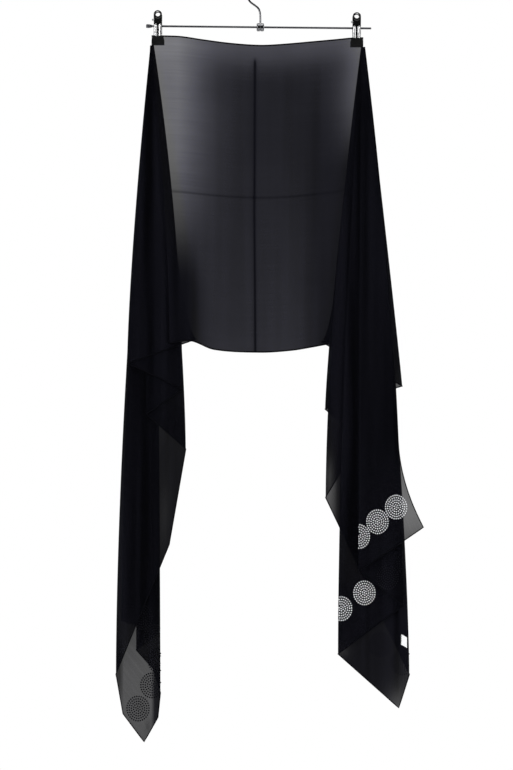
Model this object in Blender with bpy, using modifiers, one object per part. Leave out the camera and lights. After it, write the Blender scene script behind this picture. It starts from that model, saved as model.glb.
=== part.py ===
"""A long sheer stole hung from a clip hanger, in Blender 4.5.

The stole is one length of chiffon. Two clips on a rod grip its top hem, so that the cloth between them hangs
as a flat panel and both ends fall beside it in folds. Units in the tables are millimetres, turned to metres
as each mesh is made. +X is to the right seen from the front, +Y is away from the viewer, +Z is up, and the
origin is the inside top of the hook's crook, where a rail carries the hanger.
"""
import math
from collections import namedtuple

import bmesh
import bpy
from mathutils import Matrix, Vector

MM = 0.001
GAP = 0.3
COLLECTION = "hung_stole"

# Cloth
WALL = 1.0
NECK_WIDTH = 6.0
NECK_GAP = 1.4
SEAM_LEAD = 1.5
FALL = 1120.0
RUN_STEPS = 4
TURN_STEPS = 3
TAIL_SECTIONS = 12
SECTION_SPREAD = 1.25
FLARE_START = 0.82

# Soft waves that all the layers share: height, length from crest to crest over 2 pi, slant and phase
Wave = namedtuple("Wave", "height length slant phase")
WAVES = (Wave(4.5, 41.0, 310.0, 0.4), Wave(3.0, 58.0, -190.0, 1.9))
WAVE_TOP = -118.0
WAVE_FULL = -560.0
CALM_HALF_WIDTH = 90.0
CALM_FADE = 60.0
CALM_SHARE = 0.3

# Hanger
ROD_RADIUS = 1.7
ROD_LEFT = (-182.3, -80.95)
ROD_RIGHT = (188.4, -84.8)
KNOB_RADIUS = 3.3
KNOB_NOSE_RADIUS = 1.7
KNOB_LENGTH = 11.6
COLLAR_LENGTH = 13.0
COLLAR_RADIUS = 7.0
COLLAR_ROUND = 2.0
SPRING_ROUND = 0.3
BORE_RADIUS = ROD_RADIUS + GAP
WIRE_RADIUS = 1.7
CROOK_RADIUS = 23.0
CROOK_CENTRE_Z = -(CROOK_RADIUS - WIRE_RADIUS)
CROOK_FROM = 180.0
CROOK_TO = -30.0
CROOK_STEPS = 20
TURNED_STEPS = 20

# Clips
CLIP_X = {"left": -174.1, "right": 163.7}
LEAF_THICKNESS = 1.2
LEAF_WIDTH = 14.0
HEAD_CENTRE = 19.0
HEAD_HOLE = 20.0
HEAD_HOLE_RADIUS = 4.25
LEAF_COLUMNS = 14
RIB_HEIGHT = 0.8
RIB_INNER = 1.5
RIB_OUTER = 5.0
RIB_TOP = 4.0
PAD_TOP = 17.0
PAD_HEIGHT = 15.0
PAD_TOP_WIDTH = 19.5
PAD_BOTTOM_WIDTH = 22.0
PAD_INNER = WALL / 2 + GAP
PAD_THICKNESS = 4.5
PAD_ROUND = 1.2
SPRING_RADIUS = 3.2
SPRING_LENGTH = 8.0
BOSS_RADIUS = 2.0
BOSS_LENGTH = 2.6
BOSS_HEIGHT = 10.0

# A leaf's side profile: height over the rod's axis and distance of its middle from the clip's own middle
LeafPoint = namedtuple("LeafPoint", "up out")
LEAF_PROFILE = (
    LeafPoint(26.0, 9.0), LeafPoint(24.6, 8.9), LeafPoint(22.0, 8.7), LeafPoint(18.0, 8.2), LeafPoint(14.0, 7.4),
    LeafPoint(10.0, 6.2), LeafPoint(6.0, 5.0), LeafPoint(3.4, 4.3), LeafPoint(0.0, 4.15), LeafPoint(-3.4, 4.15),
    LeafPoint(-8.0, 4.0), LeafPoint(-12.0, 3.5), LeafPoint(-16.7, 3.1),
)

# Folds of a tail, from the panel to the free edge. Each row is a line that runs down from the jaw: where it
# ends, which way its round edge faces (-1 left, 1 right, 0 not folded), how far the layers on its two sides
# lie apart at the bottom, how it bends on its way (1 straight, more bulges out early, less late), and how far
# its end swings out sideways.
Ray = namedtuple("Ray", "name x z side gap bend flare")
Tail = namedtuple("Tail", "neck_x clip toward rays")
RIGHT_TAIL = Tail(174.0, "right", -1, (
    Ray("panel_edge", 155.7, -618.0, 1, 3.0, 1.65, 0.0),
    Ray("under_wedge", 103.9, -618.0, -1, 3.5, 0.61, 0.0),
    Ray("upper_point", 240.7, -692.8, 1, 4.0, 1.05, 0.0),
    Ray("inner_edge", 109.8, -731.9, -1, 5.0, 1.25, 0.0),
    Ray("middle_fold", 169.3, -784.6, 1, 3.5, 1.65, 0.0),
    Ray("long_inner", 110.5, -881.5, -1, 5.0, 1.65, 0.0),
    Ray("long_outer", 250.6, -1172.2, 1, 6.0, 1.45, 0.0),
    Ray("bottom_corner", 233.9, -1236.8, 0, 0.0, 1.45, 0.0),
    Ray("end_inner", 130.9, -1145.0, -1, 4.0, 1.65, 0.0),
    Ray("end_outer", 242.1, -1063.4, 1, 4.0, 1.45, 0.0),
    Ray("end_fold", 165.9, -1005.6, -1, 5.0, 1.65, 0.0),
    Ray("top_corner", 236.0, -930.8, 1, 0.0, 1.65, 38.7),
))
LEFT_TAIL = Tail(-184.0, "left", 1, (
    Ray("panel_edge", -157.0, -619.7, -1, 3.0, 1.65, 0.0),
    Ray("under_wedge", -107.8, -619.7, 1, 3.5, 0.63, 0.0),
    Ray("upper_point", -226.8, -653.7, -1, 4.0, 1.4, 0.0),
    Ray("inner_edge", -131.6, -697.9, 1, 3.0, 1.8, 0.0),
    Ray("middle_outer", -194.5, -740.4, -1, 4.0, 1.65, 0.0),
    Ray("middle_inner", -126.5, -800.0, 1, 5.0, 1.5, 0.0),
    Ray("hem_bulge", -155.5, -963.0, 0, 0.0, 1.5, 0.0),
    Ray("long_outer", -246.8, -1185.0, -1, 6.0, 1.65, 0.0),
    Ray("hem_curve", -230.5, -1252.0, 0, 0.0, 1.65, 0.0),
    Ray("bottom_corner", -198.7, -1299.0, 0, 0.0, 1.65, 0.0),
    Ray("end_curve", -178.0, -1258.0, 0, 0.0, 1.65, 0.0),
    Ray("end_inner", -170.7, -1217.0, 1, 3.0, 1.65, 0.0),
    Ray("end_bulge", -183.0, -1176.0, 0, 0.0, 1.65, 0.0),
    Ray("end_outer", -212.3, -1143.3, -1, 4.0, 1.65, 0.0),
    Ray("end_second_inner", -174.0, -1115.0, 1, 3.0, 1.65, 0.0),
    Ray("end_second_outer", -238.0, -1094.0, -1, 4.0, 1.65, 0.0),
    Ray("end_third_inner", -174.0, -1050.0, 1, 4.0, 1.65, 0.0),
    Ray("top_corner", -212.3, -1087.0, -1, 0.0, 1.65, 0.0),
))

# Panel between the clips: its top hem sags between them, and its bottom hem hangs lowest in the middle
HemPoint = namedtuple("HemPoint", "x z")
TOP_HEM = (
    HemPoint(-184.0, -97.6), HemPoint(-165.0, -97.8), HemPoint(-135.0, -99.0), HemPoint(-97.6, -104.5),
    HemPoint(-50.0, -110.6), HemPoint(0.0, -113.9), HemPoint(40.0, -112.0), HemPoint(90.0, -107.6),
    HemPoint(130.0, -104.0), HemPoint(156.0, -101.5), HemPoint(178.0, -101.0),
)
BOTTOM_HEM = (
    HemPoint(-157.0, -619.7), HemPoint(-135.0, -616.3), HemPoint(-114.6, -616.3), HemPoint(-78.5, -630.2),
    HemPoint(-0.7, -635.0), HemPoint(53.7, -631.6), HemPoint(89.4, -625.8), HemPoint(120.7, -620.3),
    HemPoint(155.7, -618.0),
)
PANEL_LEFT_COLUMNS = 12
PANEL_RIGHT_COLUMNS = 14
PANEL_UPPER_ROWS = 7
PANEL_LOWER_ROWS = 7
CREASE_ACROSS = 0.47
CREASE_DOWN = 0.51
CREASE_HEIGHT = 1.2

# Care label: its corners, seen from the front, on the layer that it lies on
LABEL_CORNERS = (HemPoint(238.2, -1112.0), HemPoint(247.6, -1117.4), HemPoint(247.6, -1135.1),
                 HemPoint(237.5, -1129.5))
LABEL_THICKNESS = 0.6
LABEL_STEPS = 4


def smooth_step(value):
    """0 below 0, 1 above 1, and an even curve between."""
    value = min(max(value, 0.0), 1.0)
    return value * value * (3 - 2 * value)


def along(points, x):
    """The height of a hem at x, straight between its points."""
    for first, second in zip(points, points[1:]):
        if x <= second.x:
            break
    share = min(max((x - first.x) / (second.x - first.x), 0.0), 1.0)
    return first.z + (second.z - first.z) * share


def rod_height(x):
    """The height of the rod's axis at x: the rod hangs a little lower at the right."""
    slope = (ROD_RIGHT[1] - ROD_LEFT[1]) / (ROD_RIGHT[0] - ROD_LEFT[0])
    return ROD_LEFT[1] + slope * (x - ROD_LEFT[0])


def neck_height(tail):
    """Where a tail starts, just under its clip's jaw."""
    return rod_height(CLIP_X[tail.clip]) - PAD_TOP - PAD_HEIGHT - GAP


def drift(x, z):
    """How far all the layers lean forward or back together at a place."""
    swell = smooth_step((WAVE_TOP - z) / (WAVE_TOP - WAVE_FULL))
    calm = CALM_SHARE + (1 - CALM_SHARE) * smooth_step((abs(x) - CALM_HALF_WIDTH) / CALM_FADE)
    return swell * calm * sum(wave.height * math.sin(x / wave.length + z / wave.slant + wave.phase)
                              for wave in WAVES)


def neck_side(tail, index):
    """Where across the neck a fold line starts, from -1 to 1: at its own side, or spread between two folds."""
    folded = [place_at for place_at, ray in enumerate(tail.rays) if ray.side]
    before = max(place_at for place_at in folded if place_at <= index)
    after = min(place_at for place_at in folded if place_at >= index)
    share = (index - before) / (after - before) if after > before else 0.0
    return tail.rays[before].side + (tail.rays[after].side - tail.rays[before].side) * share


def tip(tail, index, t):
    """The place of a fold line at the share t of its way down from the jaw."""
    ray = tail.rays[index]
    start_x = tail.neck_x + neck_side(tail, index) * NECK_WIDTH / 2
    spread = 1 - (1 - t) ** ray.bend
    swing = ray.flare * (max(t - FLARE_START, 0.0) / (1 - FLARE_START)) ** 2
    top = neck_height(tail)
    return HemPoint(start_x + (ray.x - start_x) * spread + swing, top + (ray.z - top) * t)


def layer_gap(tail, ray, z):
    """How far apart the layers beside a fold lie at the height z."""
    share = max((neck_height(tail) - z) / FALL, 0.0)
    return NECK_GAP + (ray.gap - NECK_GAP) * share


def depth_before(tail, index, z):
    """The depth of the layer that reaches the fold line with this index, from the panel's layer."""
    return sum(layer_gap(tail, ray, z) for ray in tail.rays[:index] if ray.side)


def place(tail, x, z, depth):
    """A point of the tail, with the shared waves added."""
    return Vector((x, tail.toward * depth + drift(x, z), z))


def turn_reach(tail, tips, index):
    """How far a fold's round edge reaches back along x."""
    here = tips[index]
    beside = [tips[other] for other in (index - 1, index + 1) if 0 <= other < len(tips)]
    room = min(abs(here.x - other.x) for other in beside)
    return min(layer_gap(tail, tail.rays[index], here.z) / 2, 0.45 * room)


def slope_between(first, second):
    """The slope of a hem between two fold lines."""
    return (second.z - first.z) / (second.x - first.x)


def fold_turn(tail, tips, index):
    """The points round one fold, from the layer before it to the layer after it."""
    ray = tail.rays[index]
    here = tips[index]
    reach = turn_reach(tail, tips, index)
    slope_in = slope_between(tips[index - 1], here) if index else 0.0
    slope_out = slope_between(here, tips[index + 1])
    points = []
    for step in range(TURN_STEPS + 1):
        angle = math.pi * (step / TURN_STEPS - 0.5)
        back = reach * (1 - math.cos(angle))
        slope = slope_in if angle < 0 else slope_out
        x = here.x - ray.side * back
        z = here.z - ray.side * back * slope
        depth = depth_before(tail, index, z) + layer_gap(tail, ray, z) * (1 + math.sin(angle)) / 2
        points.append((x, z, depth))
    return points


def tail_section(tail, t):
    """One row of points across all the folds, from the panel's edge to the free edge."""
    tips = [tip(tail, index, t) for index in range(len(tail.rays))]
    first_turn = fold_turn(tail, tips, 0)
    lead_x = first_turn[0][0] - tail.rays[0].side * SEAM_LEAD
    anchors = [[(lead_x, first_turn[0][1], 0.0)], first_turn]
    for index in range(1, len(tips) - 1):
        if tail.rays[index].side:
            anchors.append(fold_turn(tail, tips, index))
        else:
            here = tips[index]
            anchors.append([(here.x, here.z, depth_before(tail, index, here.z))])
    last = tips[-1]
    anchors.append([(last.x, last.z, depth_before(tail, len(tips) - 1, last.z))])
    points = list(anchors[0])
    for group in anchors[1:]:
        start = points[-1]
        steps = 1 if group is first_turn else RUN_STEPS
        for step in range(1, steps):
            share = step / steps
            points.append(tuple(a + (b - a) * share for a, b in zip(start, group[0])))
        points.extend(group)
    return [place(tail, x, z, depth) for x, z, depth in points]


def tail_rows(tail):
    """The tail's sections from its neck to its hem, closer together near the neck."""
    return [tail_section(tail, (row / TAIL_SECTIONS) ** SECTION_SPREAD) for row in range(TAIL_SECTIONS + 1)]


def seam_x(tail, z):
    """Where the panel's side edge lies beside the tail's first layer at the height z."""
    ray = tail.rays[0]
    top = neck_height(tail)
    t = min(max((z - top) / (ray.z - top), 0.0), 1.0)
    tips = [tip(tail, index, t) for index in range(len(tail.rays))]
    return tips[0].x - ray.side * (turn_reach(tail, tips, 0) + SEAM_LEAD + GAP)


def steps_between(start, end, count):
    """Even steps from start up to, but not including, end."""
    return [start + (end - start) * step / count for step in range(count)]


def panel_rows():
    """The panel's points, with a column and a row on its two pressed creases."""
    across = steps_between(0.0, CREASE_ACROSS, PANEL_LEFT_COLUMNS)
    across += steps_between(CREASE_ACROSS, 1.0, PANEL_RIGHT_COLUMNS) + [1.0]
    down = steps_between(0.0, CREASE_DOWN, PANEL_UPPER_ROWS)
    down += steps_between(CREASE_DOWN, 1.0, PANEL_LOWER_ROWS) + [1.0]
    rows = []
    for v in down:
        row = []
        for u in across:
            z = -100.0 - 520.0 * v
            for _ in range(3):
                x = seam_x(LEFT_TAIL, z) + (seam_x(RIGHT_TAIL, z) - seam_x(LEFT_TAIL, z)) * u
                top = along(TOP_HEM, x)
                z = top + (along(BOTTOM_HEM, x) - top) * v
            crease = CREASE_HEIGHT if u == CREASE_ACROSS or v == CREASE_DOWN else 0.0
            fade = smooth_step((WAVE_TOP - z) / CALM_FADE) * smooth_step((CALM_FADE * 2.6 - abs(x)) / CALM_FADE)
            row.append(Vector((x, drift(x, z) - crease * fade, z)))
        rows.append(row)
    return rows


def label_rows():
    """The label's points: its corners spread over the long outer layer of the right tail, moved out from it."""
    after_fold = [ray.name for ray in RIGHT_TAIL.rays].index("long_outer") + 1
    out = WALL / 2 + GAP + LABEL_THICKNESS / 2
    top_left, top_right, bottom_right, bottom_left = (Vector(corner) for corner in LABEL_CORNERS)
    rows = []
    for down in range(LABEL_STEPS + 1):
        left_end = top_left.lerp(bottom_left, down / LABEL_STEPS)
        right_end = top_right.lerp(bottom_right, down / LABEL_STEPS)
        row = []
        for across in range(LABEL_STEPS + 1):
            x, z = left_end.lerp(right_end, across / LABEL_STEPS)
            cloth = place(RIGHT_TAIL, x, z, depth_before(RIGHT_TAIL, after_fold, z))
            row.append(cloth - Vector((0.0, out, 0.0)))
        rows.append(row)
    return rows


def clear_scene():
    """Removes the objects and collections of the open file."""
    for thing in list(bpy.data.objects):
        bpy.data.objects.remove(thing, do_unlink=True)
    for collection in list(bpy.data.collections):
        bpy.data.collections.remove(collection)


def new_collection(name):
    collection = bpy.data.collections.new(name)
    bpy.context.scene.collection.children.link(collection)
    return collection


def material(name, colour, roughness, metallic=0.0, alpha=1.0):
    """A plain Principled material."""
    made = bpy.data.materials.new(name)
    made.use_nodes = True
    shader = made.node_tree.nodes["Principled BSDF"]
    shader.inputs["Base Color"].default_value = (*colour, 1.0)
    shader.inputs["Roughness"].default_value = roughness
    shader.inputs["Metallic"].default_value = metallic
    shader.inputs["Alpha"].default_value = alpha
    return made


def add_object(name, data, collection, finish):
    thing = bpy.data.objects.new(name, data)
    collection.objects.link(thing)
    data.materials.append(finish)
    return thing


def sheet(name, rows, thickness, collection, finish):
    """A cloth or plate piece: an open grid through rows of points, thickened to both sides."""
    mesh_build = bmesh.new()
    grid = [[mesh_build.verts.new(point * MM) for point in row] for row in rows]
    for upper, lower in zip(grid, grid[1:]):
        for a, b, c, d in zip(upper, upper[1:], lower[1:], lower):
            mesh_build.faces.new((a, b, c, d))
    mesh = bpy.data.meshes.new(name)
    mesh_build.to_mesh(mesh)
    mesh_build.free()
    mesh.shade_smooth()
    thing = add_object(name, mesh, collection, finish)
    shell = thing.modifiers.new("wall", "SOLIDIFY")
    shell.thickness = thickness * MM
    shell.offset = 0.0
    return thing


def lay_along_x(thing, x, y, z):
    """Places a piece that was made along +Z so that it lies along the rod."""
    slope = math.atan2(ROD_RIGHT[1] - ROD_LEFT[1], ROD_RIGHT[0] - ROD_LEFT[0])
    thing.matrix_world = (Matrix.Translation(Vector((x, y, z)) * MM) @ Matrix.Rotation(-slope, 4, "Y")
                          @ Matrix.Rotation(math.pi / 2, 4, "Y"))


def cylinder_mesh(name, radius, length, segments):
    """A closed cylinder along +Z, centred on the origin."""
    mesh_build = bmesh.new()
    bmesh.ops.create_cone(mesh_build, cap_ends=True, segments=segments, radius1=radius * MM, radius2=radius * MM,
                          depth=length * MM)
    mesh = bpy.data.meshes.new(name)
    mesh_build.to_mesh(mesh)
    mesh_build.free()
    mesh.shade_smooth()
    mesh.set_sharp_from_angle(angle=math.radians(40))
    return mesh


def turned_mesh(name, profile):
    """An open or closed profile of (radius, height) points, for a Screw modifier round +Z."""
    mesh_build = bmesh.new()
    points = [mesh_build.verts.new((radius * MM, 0.0, height * MM)) for radius, height in profile]
    for first, second in zip(points, points[1:] + points[:1]):
        mesh_build.edges.new((first, second))
    mesh = bpy.data.meshes.new(name)
    mesh_build.to_mesh(mesh)
    mesh_build.free()
    return mesh


def turn(thing, steps):
    """Turns a profile once round its local Z axis."""
    screw = thing.modifiers.new("turn", "SCREW")
    screw.steps = steps
    screw.render_steps = steps
    screw.use_merge_vertices = True
    screw.merge_threshold = 0.00001


def sleeve(name, outer, length, edge, collection, finish):
    """A short tube round the rod: down its outer side, with rounded edges, and back up its bore."""
    half = length / 2
    slant = edge * (1 - math.sqrt(0.5))
    profile = ((outer - edge, half), (outer - slant, half - slant), (outer, half - edge), (outer, edge - half),
               (outer - slant, slant - half), (outer - edge, -half), (BORE_RADIUS, -half), (BORE_RADIUS, half))
    thing = add_object(name, turned_mesh(name, profile), collection, finish)
    turn(thing, TURNED_STEPS)
    return thing


def wire_route():
    """The hook: up from the collar, an S-bend to the left, then round the crook to its open end."""
    foot = rod_height(0.0) + COLLAR_RADIUS + GAP
    stem = [Vector((0.0, 0.0, foot)), Vector((0.0, 0.0, foot + 8.0)), Vector((-0.6, 0.0, -58.5)),
            Vector((-3.4, 0.0, -50.8)), Vector((-10.4, 0.0, -44.9)), Vector((-17.4, 0.0, -39.4)),
            Vector((-21.6, 0.0, -31.6))]
    crook = []
    for step in range(CROOK_STEPS + 1):
        angle = math.radians(CROOK_FROM + (CROOK_TO - CROOK_FROM) * step / CROOK_STEPS)
        crook.append(Vector((CROOK_RADIUS * math.cos(angle), 0.0, CROOK_CENTRE_Z + CROOK_RADIUS * math.sin(angle))))
    return smooth_route(stem + crook[:1], 3)[:-1] + crook


def smooth_route(points, steps):
    """A Catmull-Rom curve through the points."""
    ends = [points[0] * 2 - points[1]] + points + [points[-1] * 2 - points[-2]]
    route = []
    for before, start, end, after in zip(ends, ends[1:], ends[2:], ends[3:]):
        for step in range(steps):
            t = step / steps
            route.append(0.5 * (2 * start + (end - before) * t + (2 * before - 5 * start + 4 * end - after) * t ** 2
                                + (3 * start - before - 3 * end + after) * t ** 3))
    return route + [points[-1]]


def wire(name, points, radius, collection, finish):
    """A round wire through the points, with filled ends."""
    curve = bpy.data.curves.new(name, "CURVE")
    curve.dimensions = "3D"
    curve.bevel_depth = radius * MM
    curve.bevel_resolution = 2
    curve.use_fill_caps = True
    spline = curve.splines.new("POLY")
    spline.points.add(len(points) - 1)
    for place_at, point in zip(spline.points, points):
        place_at.co = (*(point * MM), 1.0)
    return add_object(name, curve, collection, finish)


def leaf_half_width(up):
    """Half the width of a clip's leaf: straight sides and a round head."""
    over = up - HEAD_CENTRE
    half = LEAF_WIDTH / 2
    return half if over <= 0 else max(math.sqrt(max(half * half - over * over, 0.0)), 1.6)


def rib_rise(x, up):
    """How far a leaf is pressed out at a place: two ribs with a groove between them."""
    inside = RIB_INNER <= abs(x) <= RIB_OUTER
    return RIB_HEIGHT if inside and up <= RIB_TOP else 0.0


def clip_leaf(name, x, side, collection, finish, cutter):
    """One pressed leaf of a clip, on the side -1 (front) or 1 (back), with the head's hole cut through."""
    rod = rod_height(x)
    rows = []
    for point in LEAF_PROFILE:
        row = []
        for column in range(LEAF_COLUMNS + 1):
            local = leaf_half_width(point.up) * (2 * column / LEAF_COLUMNS - 1)
            out = point.out + rib_rise(local, point.up)
            row.append(Vector((x + local, side * out, rod + point.up)))
        rows.append(row)
    leaf = sheet(name, rows, LEAF_THICKNESS, collection, finish)
    cut = leaf.modifiers.new("head_hole", "BOOLEAN")
    cut.object = cutter
    return leaf


def clip_pad(name, x, side, collection, finish):
    """One vinyl jaw pad: a block that widens towards its lower edge."""
    top = rod_height(x) - PAD_TOP
    mesh_build = bmesh.new()
    bmesh.ops.create_cube(mesh_build, size=1.0)
    for vert in mesh_build.verts:
        width = PAD_TOP_WIDTH if vert.co.z > 0 else PAD_BOTTOM_WIDTH
        middle = side * (PAD_INNER + PAD_THICKNESS / 2)
        vert.co = Vector((x + vert.co.x * width, middle + vert.co.y * PAD_THICKNESS,
                          top - PAD_HEIGHT / 2 + vert.co.z * PAD_HEIGHT)) * MM
    mesh = bpy.data.meshes.new(name)
    mesh_build.to_mesh(mesh)
    mesh_build.free()
    pad = add_object(name, mesh, collection, finish)
    rounding = pad.modifiers.new("round", "BEVEL")
    rounding.width = PAD_ROUND * MM
    rounding.segments = 2
    return pad


def build_clip(side_name, parts, cutters, finishes):
    """A clip: two leaves and their pads, the spring round the rod, and a small boss at its left side."""
    x = CLIP_X[side_name]
    rod = rod_height(x)
    hole = add_object(f"{side_name}_head_cutter", cylinder_mesh("head_cutter", HEAD_HOLE_RADIUS, 40.0, 28),
                      cutters, finishes["vinyl"])
    hole.matrix_world = Matrix.Translation(Vector((x, 0.0, rod + HEAD_HOLE)) * MM) @ Matrix.Rotation(
        math.pi / 2, 4, "X")
    hole.hide_render = True
    hole.display_type = "WIRE"
    for face, side in (("front", -1), ("back", 1)):
        clip_leaf(f"{side_name}_clip_{face}_leaf", x, side, parts, finishes["chrome"], hole)
        clip_pad(f"{side_name}_clip_{face}_pad", x, side, parts, finishes["vinyl"])
    spring = sleeve(f"{side_name}_clip_spring", SPRING_RADIUS, SPRING_LENGTH, SPRING_ROUND, parts,
                    finishes["chrome"])
    lay_along_x(spring, x, 0.0, rod)
    boss = add_object(f"{side_name}_clip_boss", cylinder_mesh("boss", BOSS_RADIUS, BOSS_LENGTH, 20), parts,
                      finishes["dark_metal"])
    boss_x = x - LEAF_WIDTH / 2 - GAP - BOSS_LENGTH / 2
    lay_along_x(boss, boss_x, -6.2, rod + BOSS_HEIGHT)


def build_hanger(parts, finishes):
    """The rod with its end knob, the collar in its middle and the hook."""
    left, right = Vector((ROD_LEFT[0], 0.0, ROD_LEFT[1])), Vector((ROD_RIGHT[0], 0.0, ROD_RIGHT[1]))
    rod = add_object("hanger_rod", cylinder_mesh("hanger_rod", ROD_RADIUS, (right - left).length, 20), parts,
                     finishes["dark_metal"])
    lay_along_x(rod, *((left + right) / 2))
    half = KNOB_LENGTH / 2
    rim = KNOB_RADIUS - 0.8
    profile = ((0.0, half), (KNOB_NOSE_RADIUS, half), (KNOB_NOSE_RADIUS + 0.8, half - 2.4),
               (KNOB_RADIUS, half - 5.6), (KNOB_RADIUS, 1.0 - half), (rim, -half), (0.0, -half))
    knob = add_object("rod_knob", turned_mesh("rod_knob", profile), parts, finishes["dark_metal"])
    turn(knob, TURNED_STEPS)
    lay_along_x(knob, ROD_LEFT[0] - GAP - half, 0.0, rod_height(ROD_LEFT[0] - half))
    collar = sleeve("hook_collar", COLLAR_RADIUS, COLLAR_LENGTH, COLLAR_ROUND, parts, finishes["chrome"])
    lay_along_x(collar, 0.0, 0.0, rod_height(0.0))
    wire("hook_wire", wire_route(), WIRE_RADIUS, parts, finishes["chrome"])


def build_cloth(parts, finishes):
    """The panel between the clips, the two folded tails and the label."""
    sheet("scarf_centre_panel", panel_rows(), WALL, parts, finishes["chiffon"])
    sheet("scarf_left_tail", tail_rows(LEFT_TAIL), WALL, parts, finishes["chiffon"])
    sheet("scarf_right_tail", tail_rows(RIGHT_TAIL), WALL, parts, finishes["chiffon"])
    sheet("care_label", label_rows(), LABEL_THICKNESS, parts, finishes["label"])


def main():
    clear_scene()
    parts = new_collection(COLLECTION)
    cutters = new_collection("cutters")
    finishes = {
        "chiffon": material("chiffon", (0.012, 0.012, 0.016), 0.7, alpha=0.9),
        "label": material("label", (0.8, 0.8, 0.8), 0.6),
        "chrome": material("chrome", (0.72, 0.72, 0.74), 0.18, 1.0),
        "dark_metal": material("dark_metal", (0.1, 0.1, 0.11), 0.3, 1.0),
        "vinyl": material("vinyl", (0.01, 0.01, 0.01), 0.45),
    }
    build_cloth(parts, finishes)
    build_hanger(parts, finishes)
    for side_name in CLIP_X:
        build_clip(side_name, parts, cutters, finishes)


main()
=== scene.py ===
# %% [markdown]
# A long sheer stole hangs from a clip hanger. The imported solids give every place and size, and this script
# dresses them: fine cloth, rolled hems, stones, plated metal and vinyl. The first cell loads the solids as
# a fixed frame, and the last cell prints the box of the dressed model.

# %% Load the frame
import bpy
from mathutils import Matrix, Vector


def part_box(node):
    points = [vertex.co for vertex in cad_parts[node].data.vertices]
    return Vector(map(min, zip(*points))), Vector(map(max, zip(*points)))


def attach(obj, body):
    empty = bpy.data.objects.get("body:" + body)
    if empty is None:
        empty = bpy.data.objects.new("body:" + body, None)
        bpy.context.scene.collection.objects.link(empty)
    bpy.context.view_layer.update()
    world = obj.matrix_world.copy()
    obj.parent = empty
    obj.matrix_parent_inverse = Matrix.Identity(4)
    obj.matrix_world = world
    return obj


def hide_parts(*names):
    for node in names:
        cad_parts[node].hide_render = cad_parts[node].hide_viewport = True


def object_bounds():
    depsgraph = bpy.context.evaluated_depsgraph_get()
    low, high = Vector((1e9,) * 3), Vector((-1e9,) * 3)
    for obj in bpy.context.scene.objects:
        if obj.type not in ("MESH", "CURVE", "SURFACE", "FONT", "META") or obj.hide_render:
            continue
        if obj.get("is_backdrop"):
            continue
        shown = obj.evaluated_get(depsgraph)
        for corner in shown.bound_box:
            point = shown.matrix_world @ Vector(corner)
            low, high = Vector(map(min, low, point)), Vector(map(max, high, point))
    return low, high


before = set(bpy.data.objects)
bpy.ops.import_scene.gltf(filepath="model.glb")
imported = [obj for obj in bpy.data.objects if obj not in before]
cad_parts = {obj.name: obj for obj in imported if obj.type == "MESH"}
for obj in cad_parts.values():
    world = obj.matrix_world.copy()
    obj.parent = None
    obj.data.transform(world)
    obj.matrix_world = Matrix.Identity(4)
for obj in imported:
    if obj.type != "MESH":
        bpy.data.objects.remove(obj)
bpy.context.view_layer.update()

# %% [markdown]
# Sizes in this script are in millimetres, because cloth is cut and stones are bought in millimetres, and
# one factor turns them to Blender's metres as each mesh is made. The places of the hanger's pieces are read
# from the frame, so that the dressed pieces sit where the solids are.

# %% Modules and units
import math
from bisect import bisect_right
from collections import namedtuple

import bmesh
import bpy
from mathutils import Matrix, Vector

MM = 0.001
BODY = "root"


def node_box(node):
    """A solid's lowest and highest corner, in millimetres."""
    low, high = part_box(node)
    return low / MM, high / MM


print("the stole's panel is", [round(value) for value in node_box("scarf_centre_panel")[1] -
                               node_box("scarf_centre_panel")[0]], "mm")

# %% [markdown]
# Shader nodes are easier to read as sums than as boxes and wires. This small class holds one output socket
# and gives it plus, minus, times and divide, so that an expression on it adds the Math nodes. The next
# class adds any other node by its type, its settings and the values of its sockets, and the last one holds
# a material.

# %% Shader expressions
class Value:
    """One output socket that takes part in sums."""

    def __init__(self, tree, socket):
        self.tree = tree
        self.socket = socket

    def _math(self, operation, *values):
        inputs = {f"in{number}": value for number, value in enumerate(values)}
        return Nodes(self.tree).node("ShaderNodeMath", {"operation": operation}, **inputs)

    def __add__(self, other):
        return self._math("ADD", self, other)

    def __sub__(self, other):
        return self._math("SUBTRACT", self, other)

    def __rsub__(self, other):
        return self._math("SUBTRACT", other, self)

    def __mul__(self, other):
        return self._math("MULTIPLY", self, other)

    def __truediv__(self, other):
        return self._math("DIVIDE", self, other)

    def __abs__(self):
        return self._math("ABSOLUTE", self)

    __radd__ = __add__
    __rmul__ = __mul__

    def limited(self):
        """The value kept between 0 and 1."""
        return self._math("MINIMUM", self._math("MAXIMUM", self, 0.0), 1.0)

    def to_power(self, power):
        return self._math("POWER", self, power)

    def sine(self):
        return self._math("SINE", self)

    def bell(self, width):
        """1 where the value is 0, falling to nothing on both sides within about twice the width."""
        share = self / width
        return self._math("EXPONENT", share * share * -1.0)

    def beside(self, output):
        """Another output of the node that this value comes from."""
        return Value(self.tree, self.socket.node.outputs[output])


class Nodes:
    """The nodes of one tree, a material's or the world's."""

    def __init__(self, tree):
        self.tree = tree

    def node(self, kind, settings=None, output=0, **inputs):
        """Adds a node: its settings first, then the values or links of its sockets."""
        node = self.tree.nodes.new(kind)
        for setting, value in (settings or {}).items():
            setattr(node, setting, value)
        for socket, value in inputs.items():
            slot_in = node.inputs[int(socket[2:])] if socket.startswith("in") else node.inputs[socket]
            if isinstance(value, Value):
                self.tree.links.new(value.socket, slot_in)
            else:
                slot_in.default_value = value
        return Value(self.tree, node.outputs[output])


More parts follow.
